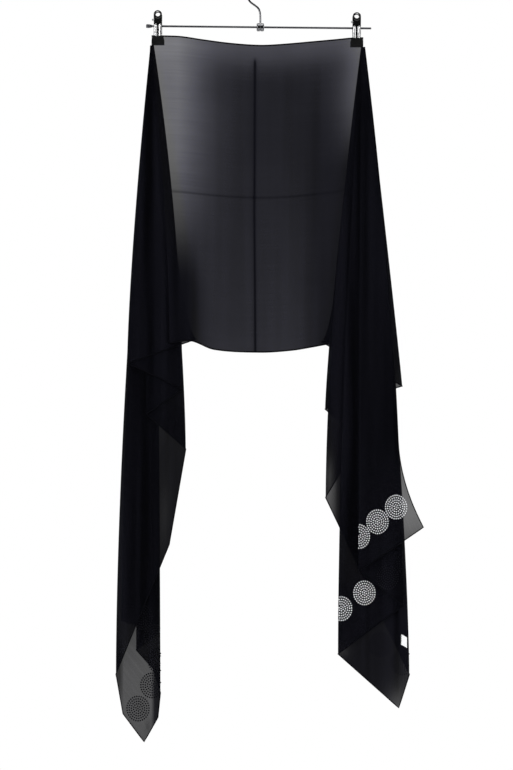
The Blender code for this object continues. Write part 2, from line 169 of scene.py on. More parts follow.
class Finish(Nodes):
    """A material with one Principled shader, whose constants sit on the shader's own sockets."""

    def __init__(self, name, **constants):
        self.material = bpy.data.materials.new(name)
        self.material.use_nodes = True
        super().__init__(self.material.node_tree)
        self.shader = self.tree.nodes["Principled BSDF"]
        for socket, value in constants.items():
            self.shader.inputs[socket.replace("_", " ")].default_value = value

    def feed(self, socket, value):
        """Links a varying value to the shader."""
        self.tree.links.new(value.socket, self.shader.inputs[socket])

    def mix(self, share, first, second):
        """A colour between two, by a share from 0 to 1."""
        return self.node("ShaderNodeMix", {"data_type": "RGBA"}, output=2, in0=share, in6=first, in7=second)

    def bump(self, height, distance, strength):
        """Feeds the shader's normal from a height."""
        self.feed("Normal", self.node("ShaderNodeBump", Height=height, Distance=distance, Strength=strength))

    def noise(self, scale, detail, flat=False):
        """Soft noise. Three scales stretch it, and flat ties it to the cloth's flat places."""
        if flat:
            place = self.node("ShaderNodeUVMap", {"uv_map": "flat"})
        else:
            place = self.node("ShaderNodeTexCoord", output="Object")
        if isinstance(scale, tuple):
            place, scale = self.node("ShaderNodeMapping", Vector=place, Scale=scale), 1.0
        settings = {"noise_dimensions": "2D" if flat else "3D"}
        return self.node("ShaderNodeTexNoise", settings, Vector=place, Scale=scale, Detail=detail)


def grey(value, blue=0.0):
    """A neutral colour, a little bluer where asked."""
    return (value, value, value + blue, 1.0)


print("shader expressions are ready, and black is", grey(0.0))

# %% [markdown]
# Chiffon is a thin plain weave of hard twisted yarn. A single layer lets some light through, two let
# through hardly any, and so a folded tail looks black while the panel between the clips is a smoky grey.
# The share of light that passes changes slowly over the cloth, with how tightly it is pulled and with painted
# light and shade, so each cloth piece carries it as a value on its points. The material only adds what is
# finer: threads, slubs, soft streaks of painted fold shading that hang down, and the creases. A row for a
# crease says which way it is measured, its place, how far its top leans, its width and how much light it
# keeps back. All of them are in metres on the flat cloth.

# %% Creases and threads
Crease = namedtuple("Crease", "axis place lean width darkening")
CREASE_START = 0.018
CREASE_FADE = 0.012
CREASE_STRAIGHT = 0.29
THREAD_STEP = 0.00085


def pressed(along_x, along_y, creases):
    """How much light all the creases keep back at a place. They end a little under the top hem."""
    fade_in = ((along_y - CREASE_START) / CREASE_FADE).limited()
    leaning = (1.0 - along_y / CREASE_STRAIGHT).limited()
    crease = 0.0
    for line in creases:
        axis = along_x if line.axis == "across" else along_y
        away = axis - line.place - leaning * line.lean
        crease = away.bell(line.width) * line.darkening * fade_in + crease
    return crease


print("one thread every", THREAD_STEP, "m, creases from", CREASE_START, "m down")

# %% [markdown]
# Cloth lit from behind takes a little of the light's blue, more where more light passes. So the yarn is
# nearly black where the cloth is dense, and its front gets a painted blue of the passing light where it is
# sheer. Beside the left tail that painted blue fades out along a slanted line, a painted shade of the black
# folds that lie behind the panel there.

# %% Chiffon
SLUB_SCALE = (9.0, 520.0, 1.0)
CLOUD_SCALE = 14.0
# The streak noise paints soft vertical bands of fold shading into the yarn's colour, between a shaded and a
# lit grey.
FOLD_SHADE_SCALE = (46.0, 46.0, 1.4)
FOLD_SHADE_CONTRAST = 3.0
WEAVE_SHARES = {"slub": 0.34, "cloud": 0.26, "threads": 0.05, "even": 0.70}
SHADED_FOLD_YARN = grey(0.0005, 0.0007)
LIT_FOLD_YARN = grey(0.0042, 0.0025)
SHEER_YARN = 0.003
FOLD_SHADED_BLUE = 0.001
BACKLIGHT_GAIN = 12.0
BACKLIGHT_EDGE_LEAN = 0.1
BACKLIGHT_EDGE_FADE = 0.012


def chiffon_finish(name, creases, backlight_blue, onset):
    """Sheer black cloth: pressed creases, painted fold streaks, and a painted blue where more light passes.
    """
    finish = Finish(name, Roughness=0.62, Specular_IOR_Level=0.02, Sheen_Weight=0.006, Sheen_Roughness=0.45,
                    Sheen_Tint=(0.62, 0.68, 1.0, 1.0))
    flat = finish.node("ShaderNodeUVMap", {"uv_map": "flat"})
    along_x = finish.node("ShaderNodeSeparateXYZ", Vector=flat)
    along_y = along_x.beside(1)
    slub = finish.noise(SLUB_SCALE, 2.0, flat=True)
    cloud = finish.noise(CLOUD_SCALE, 3.0, flat=True)
    painted_fold_shade = finish.noise(FOLD_SHADE_SCALE, 1.0)
    warp, weft = ((along * (math.tau / THREAD_STEP)).sine() for along in (along_x, along_y))
    threads = warp * 0.5 + weft * 0.5
    crease = pressed(along_x, along_y, creases)
    sheer = finish.node("ShaderNodeAttribute", {"attribute_name": "sheer"}, output="Fac")
    weave = (slub * WEAVE_SHARES["slub"] + cloud * WEAVE_SHARES["cloud"] + threads * WEAVE_SHARES["threads"]
             + WEAVE_SHARES["even"])
    passed = sheer * weave * (1.0 - crease.limited())
    finish.feed("Alpha", (1.0 - passed).limited())
    # The yarn's colour carries painted fold shading: darker and lighter streaks that hang down.
    yarn = finish.mix((painted_fold_shade * FOLD_SHADE_CONTRAST - 1.0).limited(), SHADED_FOLD_YARN, LIT_FOLD_YARN)
    # Near the left tail the painted blue gives way to less blue: a painted shade of the black folds behind
    # the panel.
    clear_of_fold_shade = ((along_x - along_y * BACKLIGHT_EDGE_LEAN) / BACKLIGHT_EDGE_FADE).limited()
    front = finish.mix(clear_of_fold_shade, grey(SHEER_YARN, FOLD_SHADED_BLUE), grey(SHEER_YARN, backlight_blue))
    # Where the cloth is sheer, its colour turns to the painted blue of the light that passes through it.
    finish.feed("Base Color", finish.mix((passed * BACKLIGHT_GAIN - onset).limited(), yarn, front))
    finish.bump(threads * 0.25 + slub * 1.2 + crease * 2.0, 0.0002, 0.6)
    return finish.material


PANEL_CREASE_ACROSS = 0.161
PANEL_CREASE_LEAN = 0.0052
CREASE_DOWN = 0.2586
panel_chiffon = chiffon_finish("panel_chiffon", (
    Crease("across", PANEL_CREASE_ACROSS, PANEL_CREASE_LEAN, 0.0024, 0.78),
    Crease("across", PANEL_CREASE_ACROSS, PANEL_CREASE_LEAN, 0.0075, 0.26),
    Crease("down", CREASE_DOWN, 0.0, 0.0022, 0.42)), backlight_blue=0.017, onset=0.0)
tail_chiffon = chiffon_finish("tail_chiffon", (Crease("down", CREASE_DOWN, 0.0, 0.0022, 0.4),),
                              backlight_blue=0.0018, onset=0.6)
print("chiffon creases at", PANEL_CREASE_ACROSS, "m across and", CREASE_DOWN, "m down")

# %% [markdown]
# The other finishes are small and hard: the rolled hem is the same cloth in several turns and so it is
# opaque, the stones are glass over silver foil with dark glue behind, and the label is satin. Each gets its
# own fine unevenness, since a perfectly even surface reads as plastic. For these four, one noise drives it
# all.

# %% Hem, stones and label
def grained(name, noise, colours, rough=None, relief=None, **constants):
    """A finish whose one noise drives its colour, roughness (gain, base) and relief (depth, strength)."""
    finish = Finish(name, **constants)
    grain = finish.noise(*noise)
    finish.feed("Base Color", finish.mix(grain, *colours))
    if rough:
        finish.feed("Roughness", grain * rough[0] + rough[1])
    if relief:
        finish.bump(grain, *relief)
    return finish.material


hem_cloth = grained("rolled_hem", (900.0, 2.0), (grey(0.0014, 0.0008), grey(0.003, 0.0014)),
                    relief=(0.0003, 0.7), Roughness=0.7, Specular_IOR_Level=0.02)
stone_front = grained("foiled_stone", (420.0, 1.0), ((0.88, 0.9, 0.94, 1.0), (1.0, 1.0, 1.0, 1.0)),
                      rough=(0.25, 0.08), Metallic=0.25, Specular_IOR_Level=0.8, Coat_Weight=0.5,
                      Coat_Roughness=0.03)
stone_back = grained("stone_glue_back", (800.0, 2.0), (grey(0.002), grey(0.01, 0.001)), rough=(0.3, 0.4),
                     Specular_IOR_Level=0.05)
label_satin = grained("label_satin", ((300.0, 2600.0, 1.0), 2.0, True), (grey(0.78), grey(0.95)),
                      rough=(0.3, 0.35), relief=(0.0001, 0.6), Specular_IOR_Level=0.4, Sheen_Weight=0.1)
print("finishes:", hem_cloth.name, stone_front.name, stone_back.name, label_satin.name)

# %% [markdown]
# The clips are plated steel pressed from sheet, and their jaws are dipped in vinyl. Polished plate is
# mostly what it reflects, and the hook and the rod look dark against white, so their own greys are dark too.
# The leaves carry a value for the crests of their ribs, where the plating is painted bright as a highlight.

# %% Metal and vinyl
def metal_finish(name, dark, bright, roughness, scratch_scale):
    """Plated metal: dark and bright are its two greys, mixed by fine scratches that run down the piece."""
    finish = Finish(name, Metallic=1.0)
    scratch = finish.noise(scratch_scale, 3.0)
    stain = finish.noise(160.0, 3.0)
    patchy = (scratch * 0.5 + stain * 0.5).limited()
    finish.feed("Base Color", finish.mix(patchy, grey(dark), grey(bright, 0.01)))
    finish.feed("Roughness", scratch * 0.16 + stain * 0.1 + roughness)
    finish.bump(scratch, 0.00004, 0.35)
    return finish.material


def leaf_finish():
    """The pressed leaf of a clip: dark plating, painted bright on its rib crests as a highlight, with
    scratches.
    """
    finish = Finish("leaf_plating", Metallic=1.0)
    crest = finish.node("ShaderNodeAttribute", {"attribute_name": "crest"}, output="Fac")
    scratch = finish.noise((2600.0, 900.0, 120.0), 3.0)
    # The rib crests get a painted highlight, a bright grey along the crests, and fine scratches add wear.
    crest_highlight_and_wear = (crest * crest * 1.3 + scratch * 0.16 - 0.2).limited()
    finish.feed("Base Color", finish.mix(crest_highlight_and_wear, grey(0.03), grey(0.95)))
    finish.feed("Roughness", scratch * 0.12 + crest * 0.08 + 0.16)
    finish.bump(scratch, 0.00003, 0.3)
    return finish.material


def vinyl_finish():
    """Soft black vinyl, with a fine skin and broad patches of wear."""
    finish = Finish("dipped_vinyl", Specular_IOR_Level=0.13)
    skin = finish.noise(700.0, 2.0)
    wear = finish.noise(90.0, 2.0)
    finish.feed("Base Color", finish.mix(wear, grey(0.002), grey(0.007)))
    finish.feed("Roughness", wear * 0.25 + 0.3)
    finish.bump(skin, 0.00012, 0.5)
    return finish.material


chrome = metal_finish("polished_chrome", 0.08, 0.2, 0.06, (300.0, 300.0, 300.0))
dark_plating = metal_finish("dark_plating", 0.035, 0.1, 0.16, (60.0, 1800.0, 1800.0))
spring_steel = metal_finish("spring_steel", 0.3, 0.55, 0.2, (900.0, 900.0, 900.0))
leaf_plating = leaf_finish()
vinyl = vinyl_finish()
print("finishes:", chrome.name, dark_plating.name, spring_steel.name, leaf_plating.name, vinyl.name)

# %% [markdown]
# A hung stole falls in lines that fan out from each clip. A tail is described by a short table of those
# lines: where each ends, which way its fold faces, how far apart the layers beside it lie, how it bends on
# its way, how far its end swings out, and where on the flat cloth it ends. Between two lines the cloth is a
# plain stretch, and all its layers have their own depth, so that they never cross.

# %% Fold tables
Ray = namedtuple("Ray", "name x z side gap bend flare flat pleats pleat_depth")
Tail = namedtuple("Tail", "name neck_x toward length rays")
CLOTH_WIDTH = 520.0
RIGHT_TAIL = Tail("right", 174.0, -1, 918.0, (
    Ray("panel_edge", 155.7, -618.0, 1, 3.0, 1.65, 0.0, 0.0, 0, 0.0),
    Ray("under_wedge", 103.9, -618.0, -1, 3.5, 0.61, 0.0, 52.0, 2, 0.8),
    Ray("upper_point", 240.7, -692.8, 1, 4.0, 1.05, 0.0, 205.0, 2, 1.0),
    Ray("inner_edge", 109.8, -731.9, -1, 5.0, 1.25, 0.0, 341.0, 1, 1.0),
    Ray("middle_fold", 169.3, -784.6, 1, 3.5, 1.65, 0.0, 418.0, 1, 1.0),
    Ray("long_inner", 110.5, -881.5, -1, 5.0, 1.65, 0.0, 530.0, 3, 1.4),
    Ray("long_outer", 251.8, -1180.0, 1, 6.0, 1.45, 0.0, 850.0, 0, 0.0),
    Ray("bottom_corner", 233.9, -1236.8, 0, 0.0, 1.45, 0.0, 918.0, 0, 0.0),
    Ray("end_inner", 130.9, -1145.0, -1, 4.0, 1.65, 0.0, 398.0, 0, 0.0),
    Ray("end_outer", 242.1, -1063.4, 1, 4.0, 1.45, 0.0, 272.0, 0, 0.0),
    Ray("end_fold", 165.9, -1005.6, -1, 5.0, 1.65, 0.0, 122.0, 1, 2.4),
    Ray("top_corner", 236.0, -930.8, 1, 0.0, 1.65, 38.7, 0.0, 0, 0.0),
))
LEFT_TAIL = Tail("left", -184.0, 1, 970.0, (
    Ray("panel_edge", -157.0, -619.7, -1, 3.0, 1.65, 0.0, 0.0, 0, 0.0),
    Ray("under_wedge", -109.5, -613.0, 1, 3.5, 0.63, 0.0, 50.0, 2, 1.0),
    Ray("upper_point", -226.8, -653.7, -1, 4.0, 1.4, 0.0, 173.0, 2, 1.0),
    Ray("inner_edge", -132.6, -697.9, 1, 3.0, 1.8, 0.0, 277.0, 1, 0.8),
    Ray("middle_outer", -194.5, -740.4, -1, 4.0, 1.65, 0.0, 353.0, 1, 1.0),
    Ray("middle_inner", -127.2, -800.0, 1, 5.0, 1.5, 0.0, 430.0, 2, 1.2),
    Ray("hem_bulge", -155.5, -963.0, 0, 0.0, 1.5, 0.0, 604.0, 1, 1.5),
    Ray("long_outer", -246.8, -1185.0, -1, 6.0, 1.65, 0.0, 855.0, 0, 0.0),
    Ray("hem_curve", -234.8, -1253.0, 0, 0.0, 1.65, 0.0, 918.0, 0, 0.0),
    Ray("bottom_corner", -198.7, -1301.0, 0, 0.0, 1.65, 0.0, 970.0, 0, 0.0),
    Ray("end_curve", -175.0, -1259.0, 0, 0.0, 1.65, 0.0, 476.0, 0, 0.0),
    Ray("end_inner", -170.7, -1217.0, 1, 3.0, 1.65, 0.0, 436.0, 0, 0.0),
    Ray("end_bulge", -183.0, -1176.0, 0, 0.0, 1.65, 0.0, 392.0, 0, 0.0),
    Ray("end_outer", -212.3, -1143.3, -1, 4.0, 1.65, 0.0, 349.0, 0, 0.0),
    Ray("end_second_inner", -174.0, -1115.0, 1, 3.0, 1.65, 0.0, 300.0, 0, 0.0),
    Ray("end_second_outer", -238.0, -1094.0, -1, 4.0, 1.65, 0.0, 222.0, 0, 0.0),
    Ray("end_third_inner", -174.0, -1050.0, 1, 4.0, 1.65, 0.0, 138.0, 1, 2.4),
    Ray("top_corner", -212.3, -1087.0, -1, 0.0, 1.65, 0.0, 0.0, 0, 0.0),
))
print("fold lines:", len(RIGHT_TAIL.rays), "right and", len(LEFT_TAIL.rays), "left")

# %% [markdown]
# The shape functions follow the solids' own. Real chiffon is far thinner than the solid's wall, so its
# layers can close up to half a millimetre under the jaw, where the solid's lie further apart. Each plain
# stretch also gets a few soft pleats, deepest on the outermost stretch, where nothing lies in front of
# them.

# %% The fall of the cloth
Wave = namedtuple("Wave", "height length slant phase")
WAVES = (Wave(4.5, 41.0, 310.0, 0.4), Wave(3.0, 58.0, -190.0, 1.9))
WAVE_TOP = -118.0
WAVE_FULL = -560.0
CALM_HALF_WIDTH = 90.0
CALM_FADE = 60.0
CALM_SHARE = 0.3
NECK_WIDTH = 6.0
NECK_GAP = 0.5
FALL = 1120.0
FLARE_START = 0.82
JAW_DROP = 0.3


def smooth_step(value):
    """0 below 0, 1 above 1, and an even curve between."""
    value = min(max(value, 0.0), 1.0)
    return value * value * (3 - 2 * value)


def drift(x, z):
    """How far all the layers lean forward or back together at a place."""
    swell = smooth_step((WAVE_TOP - z) / (WAVE_TOP - WAVE_FULL))
    calm = CALM_SHARE + (1 - CALM_SHARE) * smooth_step((abs(x) - CALM_HALF_WIDTH) / CALM_FADE)
    return swell * calm * sum(wave.height * math.sin(x / wave.length + z / wave.slant + wave.phase)
                              for wave in WAVES)


def neck_height(tail):
    """Just under the jaw of the tail's clip."""
    return node_box(f"{tail.name}_clip_front_pad")[0].z - JAW_DROP


class Fall:
    """A tail's lines at one share of the way down, and the points of the cloth between them."""

    def __init__(self, tail, t):
        self.tail = tail
        self.t = t
        self.top = neck_tops[tail.name]
        self.tips = [self._tip(index) for index in range(len(tail.rays))]

    def _neck_side(self, index):
        rays = self.tail.rays
        folded = [number for number, ray in enumerate(rays) if ray.side]
        before = max(number for number in folded if number <= index)
        after = min(number for number in folded if number >= index)
        share = (index - before) / (after - before) if after > before else 0.0
        return rays[before].side + (rays[after].side - rays[before].side) * share

    def _tip(self, index):
        ray = self.tail.rays[index]
        start_x = self.tail.neck_x + self._neck_side(index) * NECK_WIDTH / 2
        spread = 1 - max(1 - self.t, 0.0) ** ray.bend
        swing = ray.flare * (max(self.t - FLARE_START, 0.0) / (1 - FLARE_START)) ** 2
        return start_x + (ray.x - start_x) * spread + swing, self.top + (ray.z - self.top) * self.t

    def gap(self, index, z):
        """How far apart the layers beside a fold lie."""
        share = max((self.top - z) / FALL, 0.0)
        return NECK_GAP + (self.tail.rays[index].gap - NECK_GAP) * share

    def depth_before(self, index, z):
        """The depth of the layer that reaches a line."""
        return sum(self.gap(before, z) for before in range(index) if self.tail.rays[before].side)

    def reach(self, index):
        """How far a fold's round edge reaches back along x."""
        if not self.tail.rays[index].side or index == len(self.tips) - 1:
            return 0.0
        here_x, here_z = self.tips[index]
        beside = [self.tips[other][0] for other in (index - 1, index + 1) if 0 <= other < len(self.tips)]
        return min(self.gap(index, here_z) / 2, 0.45 * min(abs(here_x - other) for other in beside))

    def point(self, index, share):
        """The cloth's point on the stretch after line index, at a share of the way to the next line."""
        (x0, z0), (x1, z1) = self.tips[index], self.tips[index + 1]
        x, z = x0 + (x1 - x0) * share, z0 + (z1 - z0) * share
        depth = self.depth_before(index + 1, z)
        start, end = self.reach(index), self.reach(index + 1)
        if start and abs(x - x0) < start:
            turned = 1 - abs(x - x0) / start
            depth -= self.gap(index, z) * (1 - math.sqrt(1 - turned * turned)) / 2
        if end and abs(x - x1) < end:
            turned = 1 - abs(x - x1) / end
            depth += self.gap(index + 1, z) * (1 - math.sqrt(1 - turned * turned)) / 2
        ray = self.tail.rays[index]
        if ray.pleats:
            depth += ray.pleat_depth * self.t * (1 - math.cos(math.tau * ray.pleats * share)) / 2
        return Vector((x, self.tail.toward * depth + drift(x, z), z))

    def stations(self, index, straight_steps, turn_steps):
        """Shares along a stretch, close together round its two folds."""
        width = abs(self.tips[index + 1][0] - self.tips[index][0])
        start, end = self.reach(index) / width, self.reach(index + 1) / width
        shares = [start * (1 - math.cos(math.pi / 2 * step / turn_steps)) for step in range(turn_steps)]
        shares += [start + (1 - start - end) * step / straight_steps for step in range(straight_steps)]
        shares += [1 - end * (1 - math.sin(math.pi / 2 * step / turn_steps)) for step in range(turn_steps)]
        return shares


neck_tops = {tail.name: neck_height(tail) for tail in (LEFT_TAIL, RIGHT_TAIL)}
print("the tails start at", {name: round(top, 1) for name, top in neck_tops.items()}, "mm")

# %% [markdown]
# Every point of a tail also knows where it lies on the flat cloth: first along the bottom hem, then up the
# short edge. That place drives the weave, the creases and how sheer the cloth looks, and later it tells
# where each stone goes. Single layers pulled tight let more light through and gathered ones less, and the
# shades also hold painted light and shade, such as a painted shadow near the left tip. A row for such a shade
# gives its tail, the lines whose stretches it is on, its middle, its half width and half height, how sharp
# its edge is, and how much thinner (above 0) or denser (below 0) the cloth looks.

# %% Flat places and sheerness
Shade = namedtuple("Shade", "tail lines x z wide high edge amount")
SHADES = (
    Shade("right", "end_fold", 255.0, -885.0, 75.0, 75.0, 4, 1.08),
    Shade("right", "long_inner", 108.0, -850.0, 20.0, 65.0, 2, 0.7),
    Shade("right", "long_inner", 150.0, -880.0, 21.0, 120.0, 4, -3.8),
    Shade("right", "middle_fold", 118.0, -849.0, 10.0, 42.0, 2, 2.0),
    Shade("right", "upper_point", 235.0, -680.0, 14.0, 18.0, 2, 0.8),
    Shade("right", "long_outer bottom_corner", 190.0, -1150.0, 90.0, 110.0, 4, -2.7),
    Shade("right", "long_outer bottom_corner", 249.0, -1155.0, 18.0, 42.0, 2, 1.35),
    Shade("right", "long_outer bottom_corner", 232.0, -1228.0, 26.0, 34.0, 2, 2.2),
    Shade("right", "bottom_corner", 136.0, -1138.0, 16.0, 16.0, 2, 1.9),
    Shade("left", "middle_inner hem_bulge", -150.0, -900.0, 48.0, 190.0, 4, -2.3),
    Shade("left", "middle_inner hem_bulge", -164.0, -915.0, 9.0, 62.0, 2, 1.1),
    Shade("left", "hem_bulge", -190.0, -1190.0, 70.0, 110.0, 4, 0.5),
    Shade("left", "long_outer hem_curve bottom_corner end_curve", -200.0, -1230.0, 70.0, 110.0, 4, 0.5),
    Shade("left", "bottom_corner end_curve", -174.0, -1235.0, 9.5, 58.0, 6, -2.7),
    Shade("left", "hem_bulge long_outer", -242.0, -1185.0, 6.0, 45.0, 2, -1.1),
    Shade("left", "bottom_corner", -188.0, -1272.0, 7.0, 7.0, 2, -0.7),
)
TAIL_SHEER = 0.05


def line_index(tail, name):
    """The number of a tail's named line."""
    return [ray.name for ray in tail.rays].index(name)


def flat_place(tail, index, share, t):
    """The flat place in millimetres of a point on the stretch after line index."""
    corner = line_index(tail, "bottom_corner")
    first, second = tail.rays[index].flat, tail.rays[index + 1].flat
    if index < corner:
        return (first + (second - first) * share) * t, CLOTH_WIDTH * t
    if index == corner:
        first = CLOTH_WIDTH
    return tail.length * t, (first + (second - first) * share) * t


def tail_sheer(tail, index, point):
    """The share of light that the stretch after line index lets through at a point."""
    # The shades change the sheerness for real gathering and, as painted light and shade, for tones seen
    # through the cloth.
    change = 0.0
    for shade in SHADES:
        if shade.tail == tail.name and tail.rays[index].name in shade.lines.split():
            across, down = abs((point.x - shade.x) / shade.wide), abs((point.z - shade.z) / shade.high)
            change += shade.amount * math.exp(-across ** shade.edge - down ** shade.edge)
    return TAIL_SHEER * math.exp(change)


print("the right tail's corner line is number", line_index(RIGHT_TAIL, "bottom_corner"))

# %% [markdown]
# A sheet is made from rows of points, in quads, with its flat places as a UV map and its sheerness as a
# value on each point. One surface without thickness is right here: two faces a fifth of a millimetre apart
# would only darken the cloth twice. Every piece is then told to ride with the hanger's body and gets its
# finish, and the solids that it stands for are hidden.

# %% Mesh helpers
def finished_piece(name, mesh, material, slot, *nodes):
    """Puts a mesh or a curve in the scene as a piece of the object."""
    thing = bpy.data.objects.new(name, mesh)
    bpy.context.scene.collection.objects.link(thing)
    mesh.materials.append(material)
    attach(thing, BODY)
    if nodes:
        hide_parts(*nodes)
    return thing


def grid_mesh(name, rows, flats, values, attribute):
    """A grid of quads through rows of points, with flat places and one value a point."""
    columns = len(rows[0])
    points = [tuple(point * MM) for row in rows for point in row]
    faces = [(r * columns + c, r * columns + c + 1, (r + 1) * columns + c + 1, (r + 1) * columns + c)
             for r in range(len(rows) - 1) for c in range(columns - 1)]
    mesh = bpy.data.meshes.new(name)
    mesh.from_pydata(points, [], faces)
    layer = mesh.attributes.new(attribute, "FLOAT", "POINT")
    layer.data.foreach_set("value", [value for row in values for value in row])
    uv = mesh.uv_layers.new(name="flat")
    flat = [(u * MM, v * MM) for row in flats for u, v in row]
    for loop in mesh.loops:
        uv.data[loop.index].uv = flat[loop.vertex_index]
    mesh.shade_smooth()
    return mesh


def tube_piece(name, points, radius, material, slot, *nodes, sides=3):
    """A round cord through the points, as a curve with filled ends."""
    curve = bpy.data.curves.new(name, "CURVE")
    curve.dimensions = "3D"
    curve.bevel_depth = radius * MM
    curve.bevel_resolution = sides
    curve.use_fill_caps = True
    spline = curve.splines.new("POLY")
    spline.points.add(len(points) - 1)
    for knot, point in zip(spline.points, points):
        knot.co = (*(point * MM), 1.0)
    spline.use_smooth = True
    return finished_piece(name, curve, material, slot, *nodes)


print("pieces ride with", BODY)

# %% [markdown]
# The two tails are lofted from the clip down to their hems. Rows are closer together near the clip, where
# the folds open fast. The rolled hem is a separate thin cord along the bottom hem, up the short edge and
# along the top hem, because on real chiffon it is the darkest and crispest line.

# %% The tails
TAIL_ROWS = 84
ROW_SPREAD = 1.2
STRAIGHT_STEP = 6.0
LEAST_STEPS = 3
TURN_STEPS = 5
HEM_RADIUS = 0.9
HEM_STEP = 0.8


def tail_cloth(tail):
    """The tail's sheet, and the points along its free edges."""
    end = Fall(tail, 1.0)
    widths = [abs(after[0] - before[0]) for before, after in zip(end.tips, end.tips[1:])]
    steps = [max(LEAST_STEPS, round(width / STRAIGHT_STEP)) for width in widths]
    rows, flats, values = [], [], []
    for row in range(TAIL_ROWS + 1):
        t = (row / TAIL_ROWS) ** ROW_SPREAD
        fall = Fall(tail, t)
        stations = [(index, share) for index, straight in enumerate(steps)
                    for share in fall.stations(index, straight, TURN_STEPS)] + [(len(steps) - 1, 1.0)]
        points = [fall.point(index, share) for index, share in stations]
        rows.append(points)
        flats.append([flat_place(tail, index, share, t) for index, share in stations])
        values.append([tail_sheer(tail, index, point) for (index, share), point in zip(stations, points)])
    name = f"{tail.name}_tail_cloth"
    mesh = grid_mesh(name, rows, flats, values, "sheer")
    cloth = finished_piece(name, mesh, tail_chiffon, "chiffon", f"scarf_{tail.name}_tail")
    return cloth, rows[-1] + [row[-1] for row in reversed(rows[:-1])]


def thinned(points, step):
    """The points with those closer than step left out, for a cord's route."""
    kept = [points[0]]
    for point in points[1:-1]:
        if (point - kept[-1]).length >= step:
            kept.append(point)
    return kept + [points[-1]]


tail_pieces = {}
for tail in (LEFT_TAIL, RIGHT_TAIL):
    cloth, edge = tail_cloth(tail)
    hem = tube_piece(f"{tail.name}_tail_hem", thinned(edge, HEM_STEP), HEM_RADIUS, hem_cloth, "chiffon")
    tail_pieces[tail.name] = [cloth, hem]
    print(cloth.name, len(cloth.data.polygons), "quads")

# %% [markdown]
# The panel hangs between the clips as a flat curtain. Its top hem sags, and its sides follow the first fold
# line of each tail. Both hems run smoothly through a few points each. The small waves of the bottom hem die
# out within a little height, so the cloth above it follows an even curve.

# %% The panel's edges
Place = namedtuple("Place", "x z")
TOP_HEM = (
    Place(-184.0, -97.6), Place(-165.0, -97.8), Place(-135.0, -99.0), Place(-97.6, -104.5),
    Place(-50.0, -110.6), Place(0.0, -113.9), Place(40.0, -112.0), Place(90.0, -107.6),
    Place(130.0, -104.0), Place(156.0, -101.5), Place(178.0, -101.0),
)
BOTTOM_HEM = (
    Place(-157.0, -619.7), Place(-135.0, -616.3), Place(-114.6, -616.3), Place(-78.5, -630.2),
    Place(-0.7, -635.0), Place(53.7, -631.6), Place(89.4, -625.8), Place(120.7, -620.3),
    Place(155.7, -618.0),
)
BOTTOM_LOW = -635.0
BOTTOM_RISE = {"left": 8.0, "right": 17.0}
HALF_PANEL = 156.0
SEAM_LEAD = 1.5
SEAM_GAP = 0.3


def curved_along(points, x):
    """The z at x, on a smooth curve through places."""
    index = min(max(bisect_right([point.x for point in points], x) - 1, 0), len(points) - 2)
    first, second = points[index], points[index + 1]
    before = points[max(index - 1, 0)]
    after = points[min(index + 2, len(points) - 1)]
    width = second.x - first.x
    t = min(max((x - first.x) / width, 0.0), 1.0)
    slope_in = (second.z - before.z) / (second.x - before.x) * width
    slope_out = (after.z - first.z) / (after.x - first.x) * width
    return ((2 * t ** 3 - 3 * t ** 2 + 1) * first.z + (t ** 3 - 2 * t ** 2 + t) * slope_in
            + (3 * t ** 2 - 2 * t ** 3) * second.z + (t ** 3 - t ** 2) * slope_out)


def even_bottom(x):
    """The bottom hem's height without its small waves."""
    return BOTTOM_LOW + BOTTOM_RISE["right" if x > 0 else "left"] * (x / HALF_PANEL) ** 2


def fall_to(tail, index, z):
    """A tail's lines at the share of the way down where one of them reaches a height."""
    top = neck_tops[tail.name]
    return Fall(tail, min(max((z - top) / (tail.rays[index].z - top), 0.0), 1.0))


def seam_x(tail, z):
    """Where the panel's side edge lies beside the tail's first line."""
    fall = fall_to(tail, 0, z)
    return fall.tips[0][0] - tail.rays[0].side * (fall.reach(0) + SEAM_LEAD + SEAM_GAP)


hem_heights = [round(curved_along(hem, 0.0)) for hem in (TOP_HEM, BOTTOM_HEM)]
print("the middles of the two hems are at", hem_heights, "mm")

# %% [markdown]
# The panel looks lighter along its sides and its top and darker in the middle. So its sheerness is a sum of a
# few soft bands, which paint the light from behind into how much the cloth lets through, with a painted shade
# low down beside the left tail, where black folds lie close behind it.

# %% How sheer the panel is
Band = namedtuple("Band", "sheer reach power fade_from fade_over")
LEFT_BAND = Band(0.133, 39.5, 1.33, 119.0, 290.0)
RIGHT_BAND = Band(0.074, 25.0, 1.4, 60.0, 168.0)
LEFT_BAND_X = -142.0
TOP_BAND_SHEER = 0.046
TOP_BAND_REACH = 36.0
MIDDLE_SHEER = 0.0111
Ease = namedtuple("Ease", "start over")
RIGHT_HALF = Ease(48.0, 67.0)
LOW_RIGHT = Ease(58.0, 86.0)
LOW_RIGHT_LOSS = 0.0048
LOW_LEFT = Ease(30.0, 490.0)
LOW_LEFT_GAIN = 0.0125
SHADOW_X = -126.5
SHADOW_WIDTHS = (14.0, 30.0)
SHADOW_WIDENING = Ease(315.0, 150.0)
SHADOW_DEEPENING = Ease(315.0, 105.0)
SHADOW_DARKENING = 0.97


def eased(value, ease):
    """0 up to an ease's start, 1 past its end, and an even curve between."""
    return smooth_step((value - ease.start) / ease.over)


def side_band(band, inward, down):
    """The light band along one side, which fades inward and down the cloth."""
    fading = 1 - smooth_step((down - band.fade_from) / band.fade_over)
    return band.sheer * math.exp(-(max(inward, 0.0) / band.reach) ** band.power) * fading


